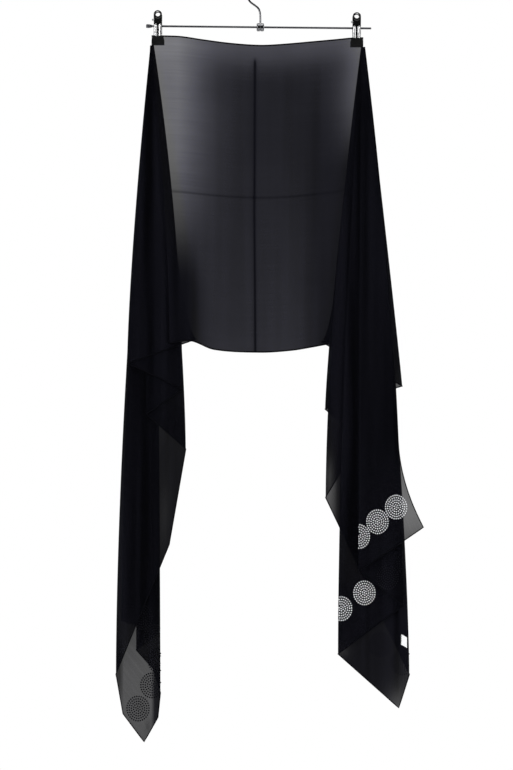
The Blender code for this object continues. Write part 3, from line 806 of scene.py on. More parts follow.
def panel_sheer(x, down, right_x):
    """The share of light that the panel lets through at x and at a distance down from its top hem."""
    # The bands are painted light from behind and the shadow is a painted shade, both held in the cloth's
    # sheerness.
    right_half = eased(x, RIGHT_HALF)
    bands = side_band(LEFT_BAND, x - LEFT_BAND_X, down) + side_band(RIGHT_BAND, right_x - x, down)
    bands += TOP_BAND_SHEER * math.exp(-(down / TOP_BAND_REACH) ** 2)
    middle = MIDDLE_SHEER - LOW_RIGHT_LOSS * right_half * eased(down, LOW_RIGHT)
    low_left = LOW_LEFT_GAIN * (max(down - LOW_LEFT.start, 0.0) / LOW_LEFT.over) ** 2 * (1 - right_half)
    narrow, wide = SHADOW_WIDTHS
    shadow_width = narrow + (wide - narrow) * eased(down, SHADOW_WIDENING)
    shadow = (SHADOW_DARKENING * math.exp(-(max(x - SHADOW_X, 0.0) / shadow_width) ** 2)
              * eased(down, SHADOW_DEEPENING))
    return (bands + middle + low_left) * (1 - shadow)


middle_share = panel_sheer(0.0, 250.0, HALF_PANEL)
print("the panel's middle lets through", round(100 * middle_share, 1), "% of the light")

# %% [markdown]
# The panel's sheet is a fine grid, because the two pressed creases stand up from it as narrow ridges. Its
# hems are cords like the tails' own, a little thicker, because two turns of cloth lie over each other
# there.

# %% The panel
PANEL_COLUMNS = 150
PANEL_ROWS = 170
PANEL_TOP = -100.0
CREASE_HEIGHT = 1.4
CREASE_RADIUS = 7.0
FLAT_PANEL_WIDTH = 340.0
HEM_WAVE_POWER = 6
PANEL_HEM_RADIUS = 1.25
PANEL_HEM_STEP = 2.0


def crease_ridge(x, z, u, v):
    """How far the pressed creases stand forward at x and z, which are u across and v down the flat cloth."""
    lean = PANEL_CREASE_LEAN * max(1 - v * CLOTH_WIDTH * MM / CREASE_STRAIGHT, 0.0)
    across = abs(u * FLAT_PANEL_WIDTH - (PANEL_CREASE_ACROSS + lean) / MM)
    down = abs(v * CLOTH_WIDTH - CREASE_DOWN / MM)
    fade = smooth_step((WAVE_TOP - z) / CALM_FADE) * smooth_step((HALF_PANEL - abs(x)) / CALM_FADE)
    return CREASE_HEIGHT * max(1 - min(across, down) / CREASE_RADIUS, 0.0) ** 2 * fade


rows, flats, values = [], [], []
for row in range(PANEL_ROWS + 1):
    v = row / PANEL_ROWS
    height = PANEL_TOP - CLOTH_WIDTH * v
    left, right = seam_x(LEFT_TAIL, height), seam_x(RIGHT_TAIL, height)
    tail_edge = line_index(RIGHT_TAIL, "inner_edge")
    right_shade = fall_to(RIGHT_TAIL, tail_edge, height).tips[tail_edge][0]
    points, places, sheers = [], [], []
    for column in range(PANEL_COLUMNS + 1):
        u = column / PANEL_COLUMNS
        x = left + (right - left) * u
        top, bottom, even = curved_along(TOP_HEM, x), curved_along(BOTTOM_HEM, x), even_bottom(x)
        z = top + (even - top) * v + (bottom - even) * v ** HEM_WAVE_POWER
        points.append(Vector((x, drift(x, z) - crease_ridge(x, z, u, v), z)))
        places.append((u * FLAT_PANEL_WIDTH, v * CLOTH_WIDTH))
        sheers.append(panel_sheer(x, top - z, right_shade))
    rows.append(points)
    flats.append(places)
    values.append(sheers)
panel_mesh = grid_mesh("panel_cloth", rows, flats, values, "sheer")
panel = finished_piece("panel_cloth", panel_mesh, panel_chiffon, "chiffon", "scarf_centre_panel")
panel_hems = [tube_piece(f"panel_{edge}_hem", thinned(row, PANEL_HEM_STEP), PANEL_HEM_RADIUS, hem_cloth,
                         "chiffon") for edge, row in (("top", rows[0]), ("bottom", rows[-1]))]
print("panel", len(panel_mesh.polygons), "quads")

# %% [markdown]
# Discs of stones lie in a row along each short edge. The row for a tail gives the first disc's place along
# the edge, its distance from the edge and how much that grows from disc to disc, the step between a disc's
# rings and the radius of a stone. Each place on the flat cloth is first found again on the stretches of the
# folds.

# %% The rows of discs
DiscRow = namedtuple("DiscRow", "first from_edge slant ring_step stone_radius")
DISC_ROWS = {"left": DiscRow(46.0, 61.0, 0.0, 4.2, 1.45), "right": DiscRow(30.0, 59.0, 0.75, 3.95, 1.25)}
DISC_COUNT = 12
DISC_STEP = 41.8
RINGS = 5
RING_TURN = 0.7
STONE_TURN = 3.7
DISC_SLANT = 0.9


def stretch_at(tail, u, v):
    """Which stretch of the short edge a flat place lies on, with its share across and its share down."""
    corner = line_index(tail, "bottom_corner")
    t = u / tail.length
    edge = v / t
    ends = [CLOTH_WIDTH] + [ray.flat for ray in tail.rays[corner + 1:]]
    for step, (first, last) in enumerate(zip(ends, ends[1:])):
        if edge >= last:
            break
    return corner + step, (edge - first) / (last - first), t


def disc_places(ring_step):
    """Where the stones of one disc lie, from its middle, and how far each one is turned."""
    yield 0.0, 0.0, 0.0
    for ring in range(1, RINGS + 1):
        count, radius = round(math.tau * ring), ring * ring_step
        for number in range(count):
            angle = math.tau * number / count + ring * RING_TURN
            yield radius * math.cos(angle) * DISC_SLANT, radius * math.sin(angle), angle * STONE_TURN


print(DISC_COUNT, "discs a row, each of", len(list(disc_places(1.0))), "stones")

# %% [markdown]
# A disc that meets a fold goes on behind it. So a stone that would lie past a fold is carried to the next
# stretch, as its mirror image in the fold, and one that would lie in the bend itself or past a hem is left
# out. How far down a stretch passes through a place is found by halving, since it has no plain formula.

# %% Stones across folds
SEARCH_RANGE = (0.5, 1.06)
SEARCH_STEPS = 13
SEARCH_PAST = 0.3
FOLD_STEP = 0.02
FOLD_CLEAR = 4.0
HEM_CLEAR = 0.998


def on_stretch(tail, index, x, z):
    """The tail's lines where a stretch passes through a place, and the place's share across that stretch."""
    low, high = SEARCH_RANGE
    for _ in range(SEARCH_STEPS):
        middle = (low + high) / 2
        (x0, z0), (x1, z1) = Fall(tail, middle).tips[index:index + 2]
        share = (x - x0) / (x1 - x0)
        height = z0 + (z1 - z0) * min(max(share, -SEARCH_PAST), 1 + SEARCH_PAST)
        low, high = (middle, high) if height > z else (low, middle)
    return Fall(tail, low), share


def folded_place(tail, index, x, z):
    """Carries a place that lies past a fold over to the next stretch, as its mirror image in the fold."""
    carried = False
    for _ in range(2):
        fall, share = on_stretch(tail, index, x, z)
        if 0.0 <= share <= 1.0:
            break
        line = index if share < 0 else index + 1
        if line in (0, len(tail.rays) - 1):
            return None
        if tail.rays[line].side:
            end = Vector(fall.tips[line])
            along = (end - Vector(Fall(tail, fall.t - FOLD_STEP).tips[line])).normalized()
            off = Vector((x, z)) - end
            x, z = end + 2 * along * off.dot(along) - off
            carried = True
        index += -1 if share < 0 else 1
    near_fold = min(abs(x - fall.tips[line][0]) for line in (index, index + 1)) < FOLD_CLEAR
    if fall.t > HEM_CLEAR or not 0.0 <= share <= 1.0 or (carried and near_fold):
        return None
    return fall, index, share


def facing(tail, index):
    """-1 where the cloth's right side faces forward on a stretch, and 1 where it faces back."""
    folds = sum(1 for ray in tail.rays[index + 1:-1] if ray.side)
    return 1 if folds % 2 else -1


print("the first stretch faces", {tail.name: facing(tail, 0) for tail in (LEFT_TAIL, RIGHT_TAIL)})

# %% [markdown]
# One stone is a shallow cut dome: a flat table, eight slanted facets and a flat back that is glued to the
# cloth. All the stones of a tail are one joined mesh with two finishes, foiled glass in front and glue
# behind. Those on inner layers are hidden, as they are on the real thing.

# %% The stones
STONE_TABLE = 0.58
STONE_HEIGHT = 0.9
STONE_LIFT = 0.12
STONE_SIDES = 8


def stone_ring(centre, normal, turn, radius, height):
    """The corners of one of a stone's two rings."""
    middle = centre + Vector((0.0, normal * height, 0.0))
    return [middle + Vector((radius * math.cos(turn + math.tau * side / STONE_SIDES), 0.0,
                             radius * math.sin(turn + math.tau * side / STONE_SIDES) * normal))
            for side in range(STONE_SIDES)]


def stones(tail):
    """All the stones of one tail as a joined mesh, with their cut domes out from the cloth's right side."""
    row = DISC_ROWS[tail.name]
    points, faces, materials = [], [], []
    for disc in range(DISC_COUNT):
        home, share, t = stretch_at(tail, tail.length - row.from_edge - row.slant * disc,
                                    row.first + disc * DISC_STEP)
        middle = Fall(tail, t).point(home, share)
        for off_x, off_z, turn in disc_places(row.ring_step):
            found = folded_place(tail, home, middle.x + off_x, middle.z + off_z)
            if found is None:
                continue
            fall, index, share = found
            centre, normal = fall.point(index, share), facing(tail, index)
            first = len(points)
            for radius, height in ((1.0, STONE_LIFT), (STONE_TABLE, STONE_LIFT + STONE_HEIGHT)):
                points += stone_ring(centre, normal, turn, row.stone_radius * radius, height)
            low = list(range(first, first + STONE_SIDES))
            high = list(range(first + STONE_SIDES, first + 2 * STONE_SIDES))
            faces += [(low[(a + 1) % STONE_SIDES], low[a], high[a], high[(a + 1) % STONE_SIDES])
                      for a in range(STONE_SIDES)]
            faces += [tuple(high[::-1]), tuple(low)]
            materials += [0] * (STONE_SIDES + 1) + [1]
    mesh = bpy.data.meshes.new(f"{tail.name}_stones")
    mesh.from_pydata([tuple(point * MM) for point in points], [], faces)
    thing = finished_piece(f"{tail.name}_stones", mesh, stone_front, "crystal")
    mesh.materials.append(stone_back)
    mesh.polygons.foreach_set("material_index", materials)
    return thing


for tail in (LEFT_TAIL, RIGHT_TAIL):
    thing = stones(tail)
    tail_pieces[tail.name].append(thing)
    print(thing.name, len(thing.data.polygons) // (STONE_SIDES + 2), "stones")

# %% [markdown]
# The care label is a blank strip of white satin tape, sewn in near the lower fold of the right tail. It
# follows the cloth's points, moved out a little, with a slight curl at its free edge and four stitches at
# the sewn one.

# %% The care label
LABEL_FLAT = (0.010, 0.017)
LABEL_CORNERS = (Place(238.2, -1112.0), Place(247.6, -1117.4), Place(247.6, -1135.1),
                 Place(237.5, -1129.5))
LABEL_OUT = 1.1
LABEL_CURL = 0.5
LABEL_THICKNESS = 0.35
LABEL_STEPS = 14
STITCHES = 4
STITCH_ACROSS = 0.06
STITCH_FIRST = 0.12
STITCH_STEP = 0.22
STITCH_LENGTH = 0.13
STITCH_LIFT = 0.3
STITCH_BOW = 0.15
STITCH_RADIUS = 0.16


def label_point(s, v):
    """A point of the label at shares across and down it."""
    top_left, top_right, bottom_right, bottom_left = (Vector(corner) for corner in LABEL_CORNERS)
    x, z = top_left.lerp(bottom_left, v).lerp(top_right.lerp(bottom_right, v), s)
    after = line_index(RIGHT_TAIL, "long_outer") + 1
    layer = RIGHT_TAIL.toward * Fall(RIGHT_TAIL, 1.0).depth_before(after, z) + drift(x, z)
    return Vector((x, layer - LABEL_OUT - LABEL_CURL * (s * s + 0.5 * v * v), z))


label_shares = [step / LABEL_STEPS for step in range(LABEL_STEPS + 1)]
grid = [[label_point(s, v) for s in label_shares] for v in label_shares]
flat_grid = [[(LABEL_FLAT[0] / MM * s, LABEL_FLAT[1] / MM * v) for s in label_shares] for v in label_shares]
label_mesh = grid_mesh("care_label_tape", grid, flat_grid, [[0.0] * len(row) for row in grid], "sheer")
label = finished_piece("care_label_tape", label_mesh, label_satin, "label", "care_label")
tape = label.modifiers.new("tape", "SOLIDIFY")
tape.thickness = LABEL_THICKNESS * MM
tape.offset = 0.0
for stitch in range(STITCHES):
    from_v = STITCH_FIRST + STITCH_STEP * stitch
    start, end = (label_point(STITCH_ACROSS, v) - Vector((0.0, STITCH_LIFT, 0.0))
                  for v in (from_v, from_v + STITCH_LENGTH))
    bow = (start + end) / 2 - Vector((0.0, STITCH_BOW, 0.0))
    tube_piece(f"label_stitch_{stitch + 1}", [start, bow, end], STITCH_RADIUS, hem_cloth, "label", sides=2)
print("label tape", len(label_mesh.polygons), "quads")

# %% [markdown]
# Turned and drawn metal comes next: the rod, its end knob, the collar and the hook's wire. Their places are
# read from the solids' boxes. A profile is swept round the rod's own line, which hangs a little lower at
# the right.

# %% Turned pieces
SPIN_STEPS = 48
SHARP_DEGREES = 38
EDGE_STEPS = 4


def turned_piece(name, profile, centre, axis, material, slot, *nodes):
    """A profile of (along, radius) points, swept round an axis through a centre."""
    turn = axis.to_track_quat("Z", "Y").to_matrix()
    points, faces = [], []
    for along, radius in profile:
        for step in range(SPIN_STEPS):
            angle = math.tau * step / SPIN_STEPS
            points.append(centre + turn @ Vector((radius * math.cos(angle), radius * math.sin(angle), along)))
    for ring in range(len(profile) - 1):
        for step in range(SPIN_STEPS):
            after = (step + 1) % SPIN_STEPS
            faces.append((ring * SPIN_STEPS + step, ring * SPIN_STEPS + after,
                          (ring + 1) * SPIN_STEPS + after, (ring + 1) * SPIN_STEPS + step))
    faces.append(tuple(reversed(range(SPIN_STEPS))))
    faces.append(tuple(range((len(profile) - 1) * SPIN_STEPS, len(profile) * SPIN_STEPS)))
    mesh = bpy.data.meshes.new(name)
    mesh.from_pydata([tuple(point * MM) for point in points], [], faces)
    mesh.shade_smooth()
    mesh.set_sharp_from_angle(angle=math.radians(SHARP_DEGREES))
    return finished_piece(name, mesh, material, slot, *nodes)


def rounded(length, radius, edge):
    """A plain round bar's profile with rounded edges."""
    half = length / 2
    angles = [math.pi / 2 * step / EDGE_STEPS for step in range(EDGE_STEPS + 1)]
    left = [(-half + edge * (1 - math.cos(angle)), radius - edge * (1 - math.sin(angle))) for angle in angles]
    return left + [(-along, around) for along, around in reversed(left)]


print("a turned ring has", SPIN_STEPS, "sides")

# %% [markdown]
# The rod is a plain bar. Its knob is turned with a flat end, a groove and a long taper, and the collar has
# a groove round its middle. The knob's table gives each ring's distance from the outer end and its radius.

# %% Rod, knob and collar
ROD_RADIUS = 1.7
ROD_EDGE = 0.5
KNOB_RINGS = ((0.0, 1.6), (0.15, 2.3), (0.6, 2.95), (1.3, 3.3), (2.2, 3.32), (2.6, 3.1), (3.0, 3.3),
              (4.4, 3.28), (6.2, 3.1), (8.0, 2.75), (9.6, 2.3), (10.9, 1.85))
COLLAR_THINNER = 0.1
COLLAR_SHORTER = 0.4
COLLAR_EDGE = 2.0
GROOVE_DEPTH = 0.7
GROOVE_HALF_WIDTHS = (1.0, 0.6)
rod_low, rod_high = node_box("hanger_rod")
ROD_LEFT = Vector((rod_low.x, 0.0, rod_high.z - ROD_RADIUS))
ROD_RIGHT = Vector((rod_high.x, 0.0, rod_low.z + ROD_RADIUS))
ROD_LINE = (ROD_RIGHT - ROD_LEFT).normalized()


def rod_point(x):
    """The point of the rod's axis at x."""
    return ROD_LEFT + ROD_LINE * ((x - ROD_LEFT.x) / ROD_LINE.x)


rod_length = (ROD_RIGHT - ROD_LEFT).length
turned_piece("rod_bar", rounded(rod_length, ROD_RADIUS, ROD_EDGE), (ROD_LEFT + ROD_RIGHT) / 2, ROD_LINE,
             dark_plating, "dark_metal", "hanger_rod")
knob_low, knob_high = node_box("rod_knob")
knob_half = (knob_high.x - knob_low.x) / 2
knob_profile = [(out - knob_half, radius) for out, radius in KNOB_RINGS] + [(knob_half, ROD_RADIUS)]
turned_piece("rod_knob_cap", knob_profile, rod_point((knob_low.x + knob_high.x) / 2), ROD_LINE,
             dark_plating, "dark_metal", "rod_knob")
collar_low, collar_high = node_box("hook_collar")
collar_radius = (collar_high.z - collar_low.z) / 2 - COLLAR_THINNER
collar_profile = rounded(collar_high.x - collar_low.x - COLLAR_SHORTER, collar_radius, COLLAR_EDGE)
outer, inner = GROOVE_HALF_WIDTHS
groove = [(-outer, collar_radius), (-inner, collar_radius - GROOVE_DEPTH),
          (inner, collar_radius - GROOVE_DEPTH), (outer, collar_radius)]
collar_profile = collar_profile[:EDGE_STEPS + 1] + groove + collar_profile[EDGE_STEPS + 1:]
turned_piece("hook_collar_ring", collar_profile, rod_point(0.0), ROD_LINE, chrome, "chrome", "hook_collar")
print("rod", round(rod_length), "mm, collar", round(collar_radius * 2, 1), "mm across")

# %% [markdown]
# The hook is one bent wire. Its route repeats the solid's: straight up from the collar, an S-bend to the
# left and round the crook to an open end, which is finished with a small ball so that it doesn't snag.

# %% The hook's wire
WIRE_RADIUS = 1.7
CROOK_RADIUS = 23.0
CROOK_CENTRE_Z = WIRE_RADIUS - CROOK_RADIUS
CROOK_FROM = 180.0
CROOK_TO = -30.0
CROOK_STEPS = 64
STEM_STRAIGHT = 8.0
STEM_BEND = (Place(-0.6, -58.5), Place(-3.4, -50.8), Place(-10.4, -44.9), Place(-17.4, -39.4),
             Place(-21.6, -31.6))
STEM_STEPS = 10
BALL_RADIUS = 2.3
BALL_DEGREES = range(-88, 89, 16)
BALL_LEAST = 0.05


def smooth_route(points, steps):
    """A Catmull-Rom curve through the points."""
    ends = [points[0] * 2 - points[1]] + points + [points[-1] * 2 - points[-2]]
    route = []
    for before, start, end, after in zip(ends, ends[1:], ends[2:], ends[3:]):
        bend = 2 * before - 5 * start + 4 * end - after
        twist = 3 * start - before - 3 * end + after
        for step in range(steps):
            t = step / steps
            route.append(0.5 * (2 * start + (end - before) * t + bend * t ** 2 + twist * t ** 3))
    return route + [points[-1]]


foot = node_box("hook_wire")[0].z
stem = [Vector((0.0, 0.0, foot)), Vector((0.0, 0.0, foot + STEM_STRAIGHT))]
stem += [Vector((place.x, 0.0, place.z)) for place in STEM_BEND]
crook = []
for step in range(CROOK_STEPS + 1):
    angle = math.radians(CROOK_FROM + (CROOK_TO - CROOK_FROM) * step / CROOK_STEPS)
    up = CROOK_CENTRE_Z + CROOK_RADIUS * math.sin(angle)
    crook.append(Vector((CROOK_RADIUS * math.cos(angle), 0.0, up)))
tube_piece("hook_bent_wire", smooth_route(stem + crook[:1], STEM_STEPS)[:-1] + crook, WIRE_RADIUS, chrome,
           "chrome", "hook_wire", sides=6)
ball_profile = [(BALL_RADIUS * math.sin(angle), max(BALL_RADIUS * math.cos(angle), BALL_LEAST))
                for angle in map(math.radians, BALL_DEGREES)]
end_direction = (crook[-1] - crook[-2]).normalized()
turned_piece("hook_wire_ball", ball_profile, crook[-1], end_direction, chrome, "chrome")
print("hook wire ends at", tuple(round(value, 1) for value in crook[-1]))

# %% [markdown]
# Each clip has two leaves pressed from thin plate, with two ribs that stiffen them and a pierced round head
# to squeeze. A leaf starts as an open grid over its side profile. The hole is cut with a Boolean, the plate
# gets its thickness from a Solidify, and its edges are broken with a small bevel.

# %% The leaves
LeafPoint = namedtuple("LeafPoint", "up out")
LEAF_PROFILE = (
    LeafPoint(-16.7, 3.1), LeafPoint(-12.0, 3.5), LeafPoint(-8.0, 4.0), LeafPoint(-3.4, 4.15),
    LeafPoint(0.0, 4.15), LeafPoint(3.4, 4.3), LeafPoint(6.0, 5.0), LeafPoint(10.0, 6.2),
    LeafPoint(14.0, 7.4), LeafPoint(18.0, 8.2), LeafPoint(22.0, 8.7), LeafPoint(24.6, 8.9),
    LeafPoint(26.0, 9.0),
)
LEAF_CURVE = [Place(point.up, point.out) for point in LEAF_PROFILE]
LEAF_FOOT, LEAF_TIP = LEAF_PROFILE[0].up, LEAF_PROFILE[-1].up
LEAF_WIDTH = 14.0
LEAF_THICKNESS = 1.1
LEAF_COLUMNS = 56
LEAF_ROWS = 96
HEAD_CENTRE = 19.0
HEAD_LEAST = 0.4
HEAD_HOLE = 20.0
HEAD_HOLE_RADIUS = 4.25
RIB_HEIGHT = 0.85
RIB_CENTRE = 3.7
RIB_HALF_WIDTH = 1.95
RIB_TOP = 3.6
RIB_ROUNDNESS = 0.6
RIM_START = 5.4
RIM_WIDTH = 1.4
RIM_LIFT = 0.5
LEAF_BEVEL = 0.22


def leaf_half_width(up):
    """Half the leaf's width at a height: even below, and round at its head."""
    over = up - HEAD_CENTRE
    half = LEAF_WIDTH / 2
    return half if over <= 0 else math.sqrt(max(half * half - over * over, HEAD_LEAST))


def rib(x, up):
    """How far a rib stands out at a place, from 0 to 1: a round crest with a rounded upper end."""
    beside = (abs(x) - RIB_CENTRE) / RIB_HALF_WIDTH
    above = max(up - RIB_TOP + RIB_HALF_WIDTH, 0.0) / RIB_HALF_WIDTH
    return max(1 - beside * beside - above * above, 0.0) ** RIB_ROUNDNESS


def bevelled(thing, width, segments):
    """Breaks the sharp edges of a piece."""
    edge = thing.modifiers.new("broken_edge", "BEVEL")
    edge.width = width * MM
    edge.segments = segments
    edge.limit_method = "ANGLE"
    edge.angle_limit = math.radians(50)


def cut_with_cylinder(thing, centre, radius, length):
    """Cuts a round hole along Y through a piece, and keeps the result as its mesh."""
    build = bmesh.new()
    bmesh.ops.create_cone(build, cap_ends=True, segments=64, radius1=radius * MM, radius2=radius * MM,
                          depth=length * MM)
    bmesh.ops.rotate(build, verts=build.verts, cent=(0, 0, 0), matrix=Matrix.Rotation(math.pi / 2, 3, "X"))
    bmesh.ops.translate(build, verts=build.verts, vec=centre * MM)
    mesh = bpy.data.meshes.new("hole")
    build.to_mesh(mesh)
    build.free()
    cutter = bpy.data.objects.new("hole", mesh)
    bpy.context.scene.collection.objects.link(cutter)
    thing.modifiers.new("hole", "BOOLEAN").object = cutter
    made = bpy.data.meshes.new_from_object(thing.evaluated_get(bpy.context.evaluated_depsgraph_get()))
    thing.modifiers.clear()
    thing.data = made
    bpy.data.objects.remove(cutter)


def clip_leaf(clip, face, centre, side):
    """One leaf of a clip, facing side -1 (front) or 1 (back)."""
    grid, crests = [], []
    for row in range(LEAF_ROWS + 1):
        up = LEAF_TIP + (LEAF_FOOT - LEAF_TIP) * row / LEAF_ROWS
        across = [leaf_half_width(up) * (2 * column / LEAF_COLUMNS - 1) for column in range(LEAF_COLUMNS + 1)]
        crests.append([rib(x, up) for x in across])
        grid.append([])
        for x, crest in zip(across, crests[-1]):
            from_head = math.hypot(x, min(up - HEAD_CENTRE, 0.0))
            rim = smooth_step((from_head - RIM_START) / RIM_WIDTH) * RIM_LIFT * (up > 0)
            out = curved_along(LEAF_CURVE, up) + crest * RIB_HEIGHT - rim
            grid[-1].append(Vector((centre.x + x, side * out, centre.z + up)))
    mesh = grid_mesh(f"{clip}_{face}_leaf", grid, [[(0.0, 0.0)] * len(row) for row in grid], crests, "crest")
    leaf = finished_piece(f"{clip}_{face}_leaf", mesh, leaf_plating, "chrome", f"{clip}_clip_{face}_leaf")
    plate = leaf.modifiers.new("plate", "SOLIDIFY")
    plate.thickness = LEAF_THICKNESS * MM
    plate.offset = 0.0
    cut_with_cylinder(leaf, centre + Vector((0.0, 0.0, HEAD_HOLE)), HEAD_HOLE_RADIUS, 40.0)
    bevelled(leaf, LEAF_BEVEL, 2)
    leaf.data.shade_smooth()


print("a leaf is", LEAF_WIDTH, "mm wide and", round(LEAF_TIP - LEAF_FOOT, 1), "mm high")

# %% [markdown]
# The jaws are blocks of vinyl, dipped over the leaves' feet. Each is shaped over its solid's own box:
# narrower at the shoulders, with a lip and a groove across it near its lower edge, and with soft rounded
# edges.

# %% The jaws
JAW_CUTS = 15
JAW_SLACK = 1.1
JAW_SHOULDER = 0.15
JAW_SHOULDER_FROM = 0.45
JAW_LIP = 0.3
JAW_LIP_UP, JAW_LIP_WIDTH = 0.12, 0.1
JAW_GROOVE_UP, JAW_GROOVE_WIDTH = 0.34, 0.08
JAW_CROWN = 0.2
JAW_BELLY = 0.15
JAW_EDGE = 1.1


def clip_pad(clip, face, side):
    """A vinyl jaw over the solid's own box: wider below, with round shoulders and a thicker lip."""
    low, high = node_box(f"{clip}_clip_{face}_pad")
    middle, size = (low + high) / 2, high - low
    build = bmesh.new()
    bmesh.ops.create_cube(build, size=1.0)
    bmesh.ops.subdivide_edges(build, edges=build.edges, cuts=JAW_CUTS, use_grid_fill=True)
    for vert in build.verts:
        up = vert.co.z + 0.5
        shoulder = smooth_step((up - JAW_SHOULDER_FROM) / (1 - JAW_SHOULDER_FROM))
        width = size.x * (1 - JAW_SHOULDER * shoulder)
        lip = JAW_LIP * (math.exp(-((up - JAW_LIP_UP) / JAW_LIP_WIDTH) ** 2)
                         - math.exp(-((up - JAW_GROOVE_UP) / JAW_GROOVE_WIDTH) ** 2))
        bulge = (JAW_CROWN + lip) * math.cos(math.pi * vert.co.x * 0.9) + JAW_BELLY * math.sin(math.pi * up)
        outward = vert.co.y * side > 0.4
        y = middle.y + vert.co.y * (size.y - JAW_SLACK) + (side * bulge if outward else 0.0)
        vert.co = Vector((middle.x + vert.co.x * width, y, middle.z + vert.co.z * size.z)) * MM
    mesh = bpy.data.meshes.new(f"{clip}_{face}_jaw")
    build.to_mesh(mesh)
    build.free()
    pad = finished_piece(f"{clip}_{face}_jaw", mesh, vinyl, "vinyl", f"{clip}_clip_{face}_pad")
    bevelled(pad, JAW_EDGE, 4)
    mesh.shade_smooth()


print("a jaw is", [round(value, 1) for value in node_box("left_clip_front_pad")[1] -
                   node_box("left_clip_front_pad")[0]], "mm")

# %% [markdown]
# A coil of thin spring wire lies round the rod in each clip, and a small rivet holds the leaf at its left
# side. Then both clips are put together from their four kinds of pieces.

# %% Springs, rivets and the two clips
COIL_TURNS = 6
COIL_STEPS = 16
COIL_RADIUS = 2.55
COIL_WIRE = 0.5
COIL_SLACK = 1.3
RIVET_REACH = 1.0
RIVET_EDGE = 0.6
RIVET_SLACK = 0.02


def clip_spring(clip, centre):
    """A coiled spring round the rod."""
    low, high = node_box(f"{clip}_clip_spring")
    length = high.x - low.x - COIL_SLACK
    points = []
    for step in range(COIL_TURNS * COIL_STEPS + 1):
        angle = math.tau * step / COIL_STEPS
        along = (step / (COIL_TURNS * COIL_STEPS) - 0.5) * length
        out = Vector((0.0, COIL_RADIUS * math.cos(angle), COIL_RADIUS * math.sin(angle)))
        points.append(rod_point(centre.x + along) + out)
    tube_piece(f"{clip}_spring_coil", points, COIL_WIRE, spring_steel, "chrome", f"{clip}_clip_spring",
               sides=2)


def clip_boss(clip):
    """The small rivet at the left side of the clip: a round head on a shank that runs into the leaf."""
    low, high = node_box(f"{clip}_clip_boss")
    radius, half = (high.z - low.z) / 2 - RIVET_SLACK, (high.x - low.x) / 2
    shank = [(half, radius / 2), (half + RIVET_REACH, radius / 2)]
    profile = rounded(2 * half, radius, RIVET_EDGE)[:EDGE_STEPS + 2] + shank
    turned_piece(f"{clip}_rivet", profile, (low + high) / 2, ROD_LINE, spring_steel, "dark_metal",
                 f"{clip}_clip_boss")


for clip in ("left", "right"):
    low, high = node_box(f"{clip}_clip_spring")
    centre = rod_point((low.x + high.x) / 2)
    for face, side in (("front", -1), ("back", 1)):
        clip_leaf(clip, face, centre, side)
        clip_pad(clip, face, side)
    clip_spring(clip, centre)
    clip_boss(clip)
    print(clip, "clip at", tuple(round(value, 1) for value in centre))

# %% [markdown]
# The stole is one rectangle: the panel takes its middle, and each tail an end. The hems and the stones go
# with the cloth that they are sewn or glued to.

# %% [markdown]
# The light is a plain white studio. What the camera sees past the object is pure white, as in a catalogue
# picture, while what lights the metal is darker below and behind the camera, so that polished plate has
# something to reflect.

# %% White surroundings
SKY_BASE = 0.3
SKY_FROM_ABOVE = 0.35
SKY_FROM_SIDES = 0.55
SKY_SIDE_POWER = 3.0
SKY_FRONT_GAIN = -1.6
SKY_FRONT_DARKENING = 0.78
scene = bpy.context.scene
scene.view_settings.view_transform = "Standard"
scene.world = bpy.data.worlds.new("studio")
scene.world.use_nodes = True
sky = Nodes(scene.world.node_tree)
sky.tree.nodes.clear()
sideways = sky.node("ShaderNodeSeparateXYZ", Vector=sky.node("ShaderNodeTexCoord", output="Generated"))
forward, height = sideways.beside(1), sideways.beside(2)
around = height * SKY_FROM_ABOVE + abs(sideways).to_power(SKY_SIDE_POWER) * SKY_FROM_SIDES + SKY_BASE
strength = around.limited() * (1.0 - (forward * SKY_FRONT_GAIN).limited() * SKY_FRONT_DARKENING)
lit = sky.node("ShaderNodeBackground", Color=(0.93, 0.96, 1.0, 1.0), Strength=strength)
seen = sky.node("ShaderNodeBackground", Color=(1.0, 1.0, 1.0, 1.0))
to_camera = sky.node("ShaderNodeLightPath", output="Is Camera Ray")
both = sky.node("ShaderNodeMixShader", in0=to_camera, in1=lit, in2=seen)
sky.tree.links.new(both.socket, sky.tree.nodes.new("ShaderNodeOutputWorld").inputs["Surface"])
print("surroundings with", len(sky.tree.nodes), "nodes")

# %% [markdown]
# The floor is a pale round sheet that shines a little of its own, as a lit studio floor does, and lies well
# below the tails. Two soft boxes at the sides draw the folds and the ribs, one above lights the rod and the
# clips, and one behind shines through the sheer cloth.

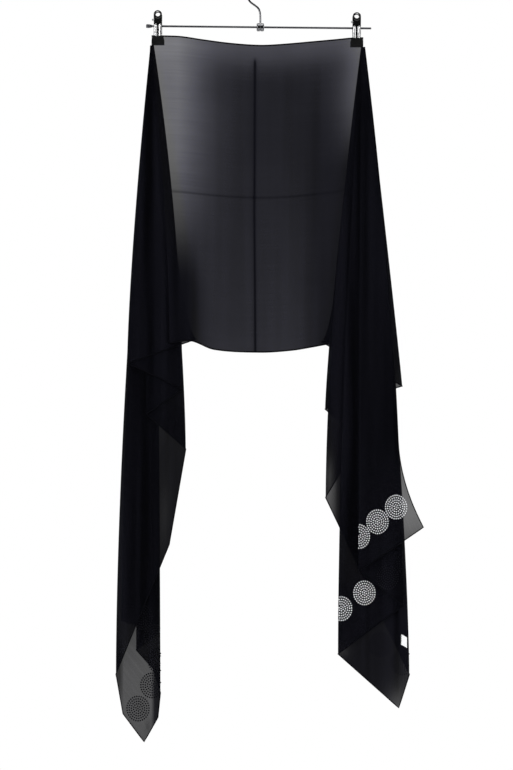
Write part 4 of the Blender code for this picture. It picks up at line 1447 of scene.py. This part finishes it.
# %% Floor and lights
FLOOR_HEIGHT = -1.78
FLOOR_RADIUS = 2.6
LIGHT_AIM = Vector((0.0, 0.0, -0.6))
SoftBox = namedtuple("SoftBox", "name x y z size power")
SOFT_BOXES = (
    SoftBox("left_softbox", -2.6, -2.4, 0.2, 1.6, 60.0),
    SoftBox("right_softbox", 2.9, -1.6, 0.0, 1.4, 48.0),
    SoftBox("top_softbox", 0.2, -0.8, 2.0, 1.6, 30.0),
    SoftBox("back_softbox", 0.6, 3.2, 0.6, 2.0, 30.0),
)
floor_build = bmesh.new()
bmesh.ops.create_circle(floor_build, cap_ends=True, segments=96, radius=FLOOR_RADIUS)
floor_mesh = bpy.data.meshes.new("studio_floor")
floor_build.to_mesh(floor_mesh)
floor_build.free()
floor = bpy.data.objects.new("studio_floor", floor_mesh)
floor.location.z = FLOOR_HEIGHT
scene.collection.objects.link(floor)
floor_mesh.materials.append(Finish(
    "floor_paint", Base_Color=(0.9, 0.9, 0.9, 1.0), Roughness=0.9, Specular_IOR_Level=0.1,
    Emission_Color=(1.0, 1.0, 1.0, 1.0), Emission_Strength=0.62).material)
floor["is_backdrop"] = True
for box in SOFT_BOXES:
    light = bpy.data.lights.new(box.name, "AREA")
    light.energy = box.power
    light.size = box.size
    lamp = bpy.data.objects.new(box.name, light)
    lamp.location = (box.x, box.y, box.z)
    lamp.rotation_mode = "QUATERNION"
    lamp.rotation_quaternion = (LIGHT_AIM - lamp.location).to_track_quat("-Z", "Y")
    lamp.visible_camera = False
    scene.collection.objects.link(lamp)
print("floor at", FLOOR_HEIGHT, "m and", len(SOFT_BOXES), "soft boxes")

# %% [markdown]
# The camera stands straight in front, far enough away for a flat catalogue view, and its frame is the
# picture's: taller than it is wide, with the hook running out of its top edge.

# %% Camera
FRAME_HEIGHT = 1.309
FRAME_CENTRE = Vector((-0.0066, 0.0, -0.691))
CAMERA_DISTANCE = 4.5
SENSOR = 36.0
camera_data = bpy.data.cameras.new("camera")
camera_data.sensor_width = SENSOR
camera_data.lens = SENSOR * CAMERA_DISTANCE / FRAME_HEIGHT
camera = bpy.data.objects.new("camera", camera_data)
camera.location = FRAME_CENTRE + Vector((0.0, -CAMERA_DISTANCE, 0.0))
camera.rotation_euler = (math.pi / 2, 0.0, 0.0)
scene.collection.objects.link(camera)
scene.camera = camera
print("lens", round(camera_data.lens, 1), "mm")

# %% Sizes and finish
low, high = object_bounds()
print("dressed model from", [round(value, 3) for value in low], "to", [round(value, 3) for value in high])
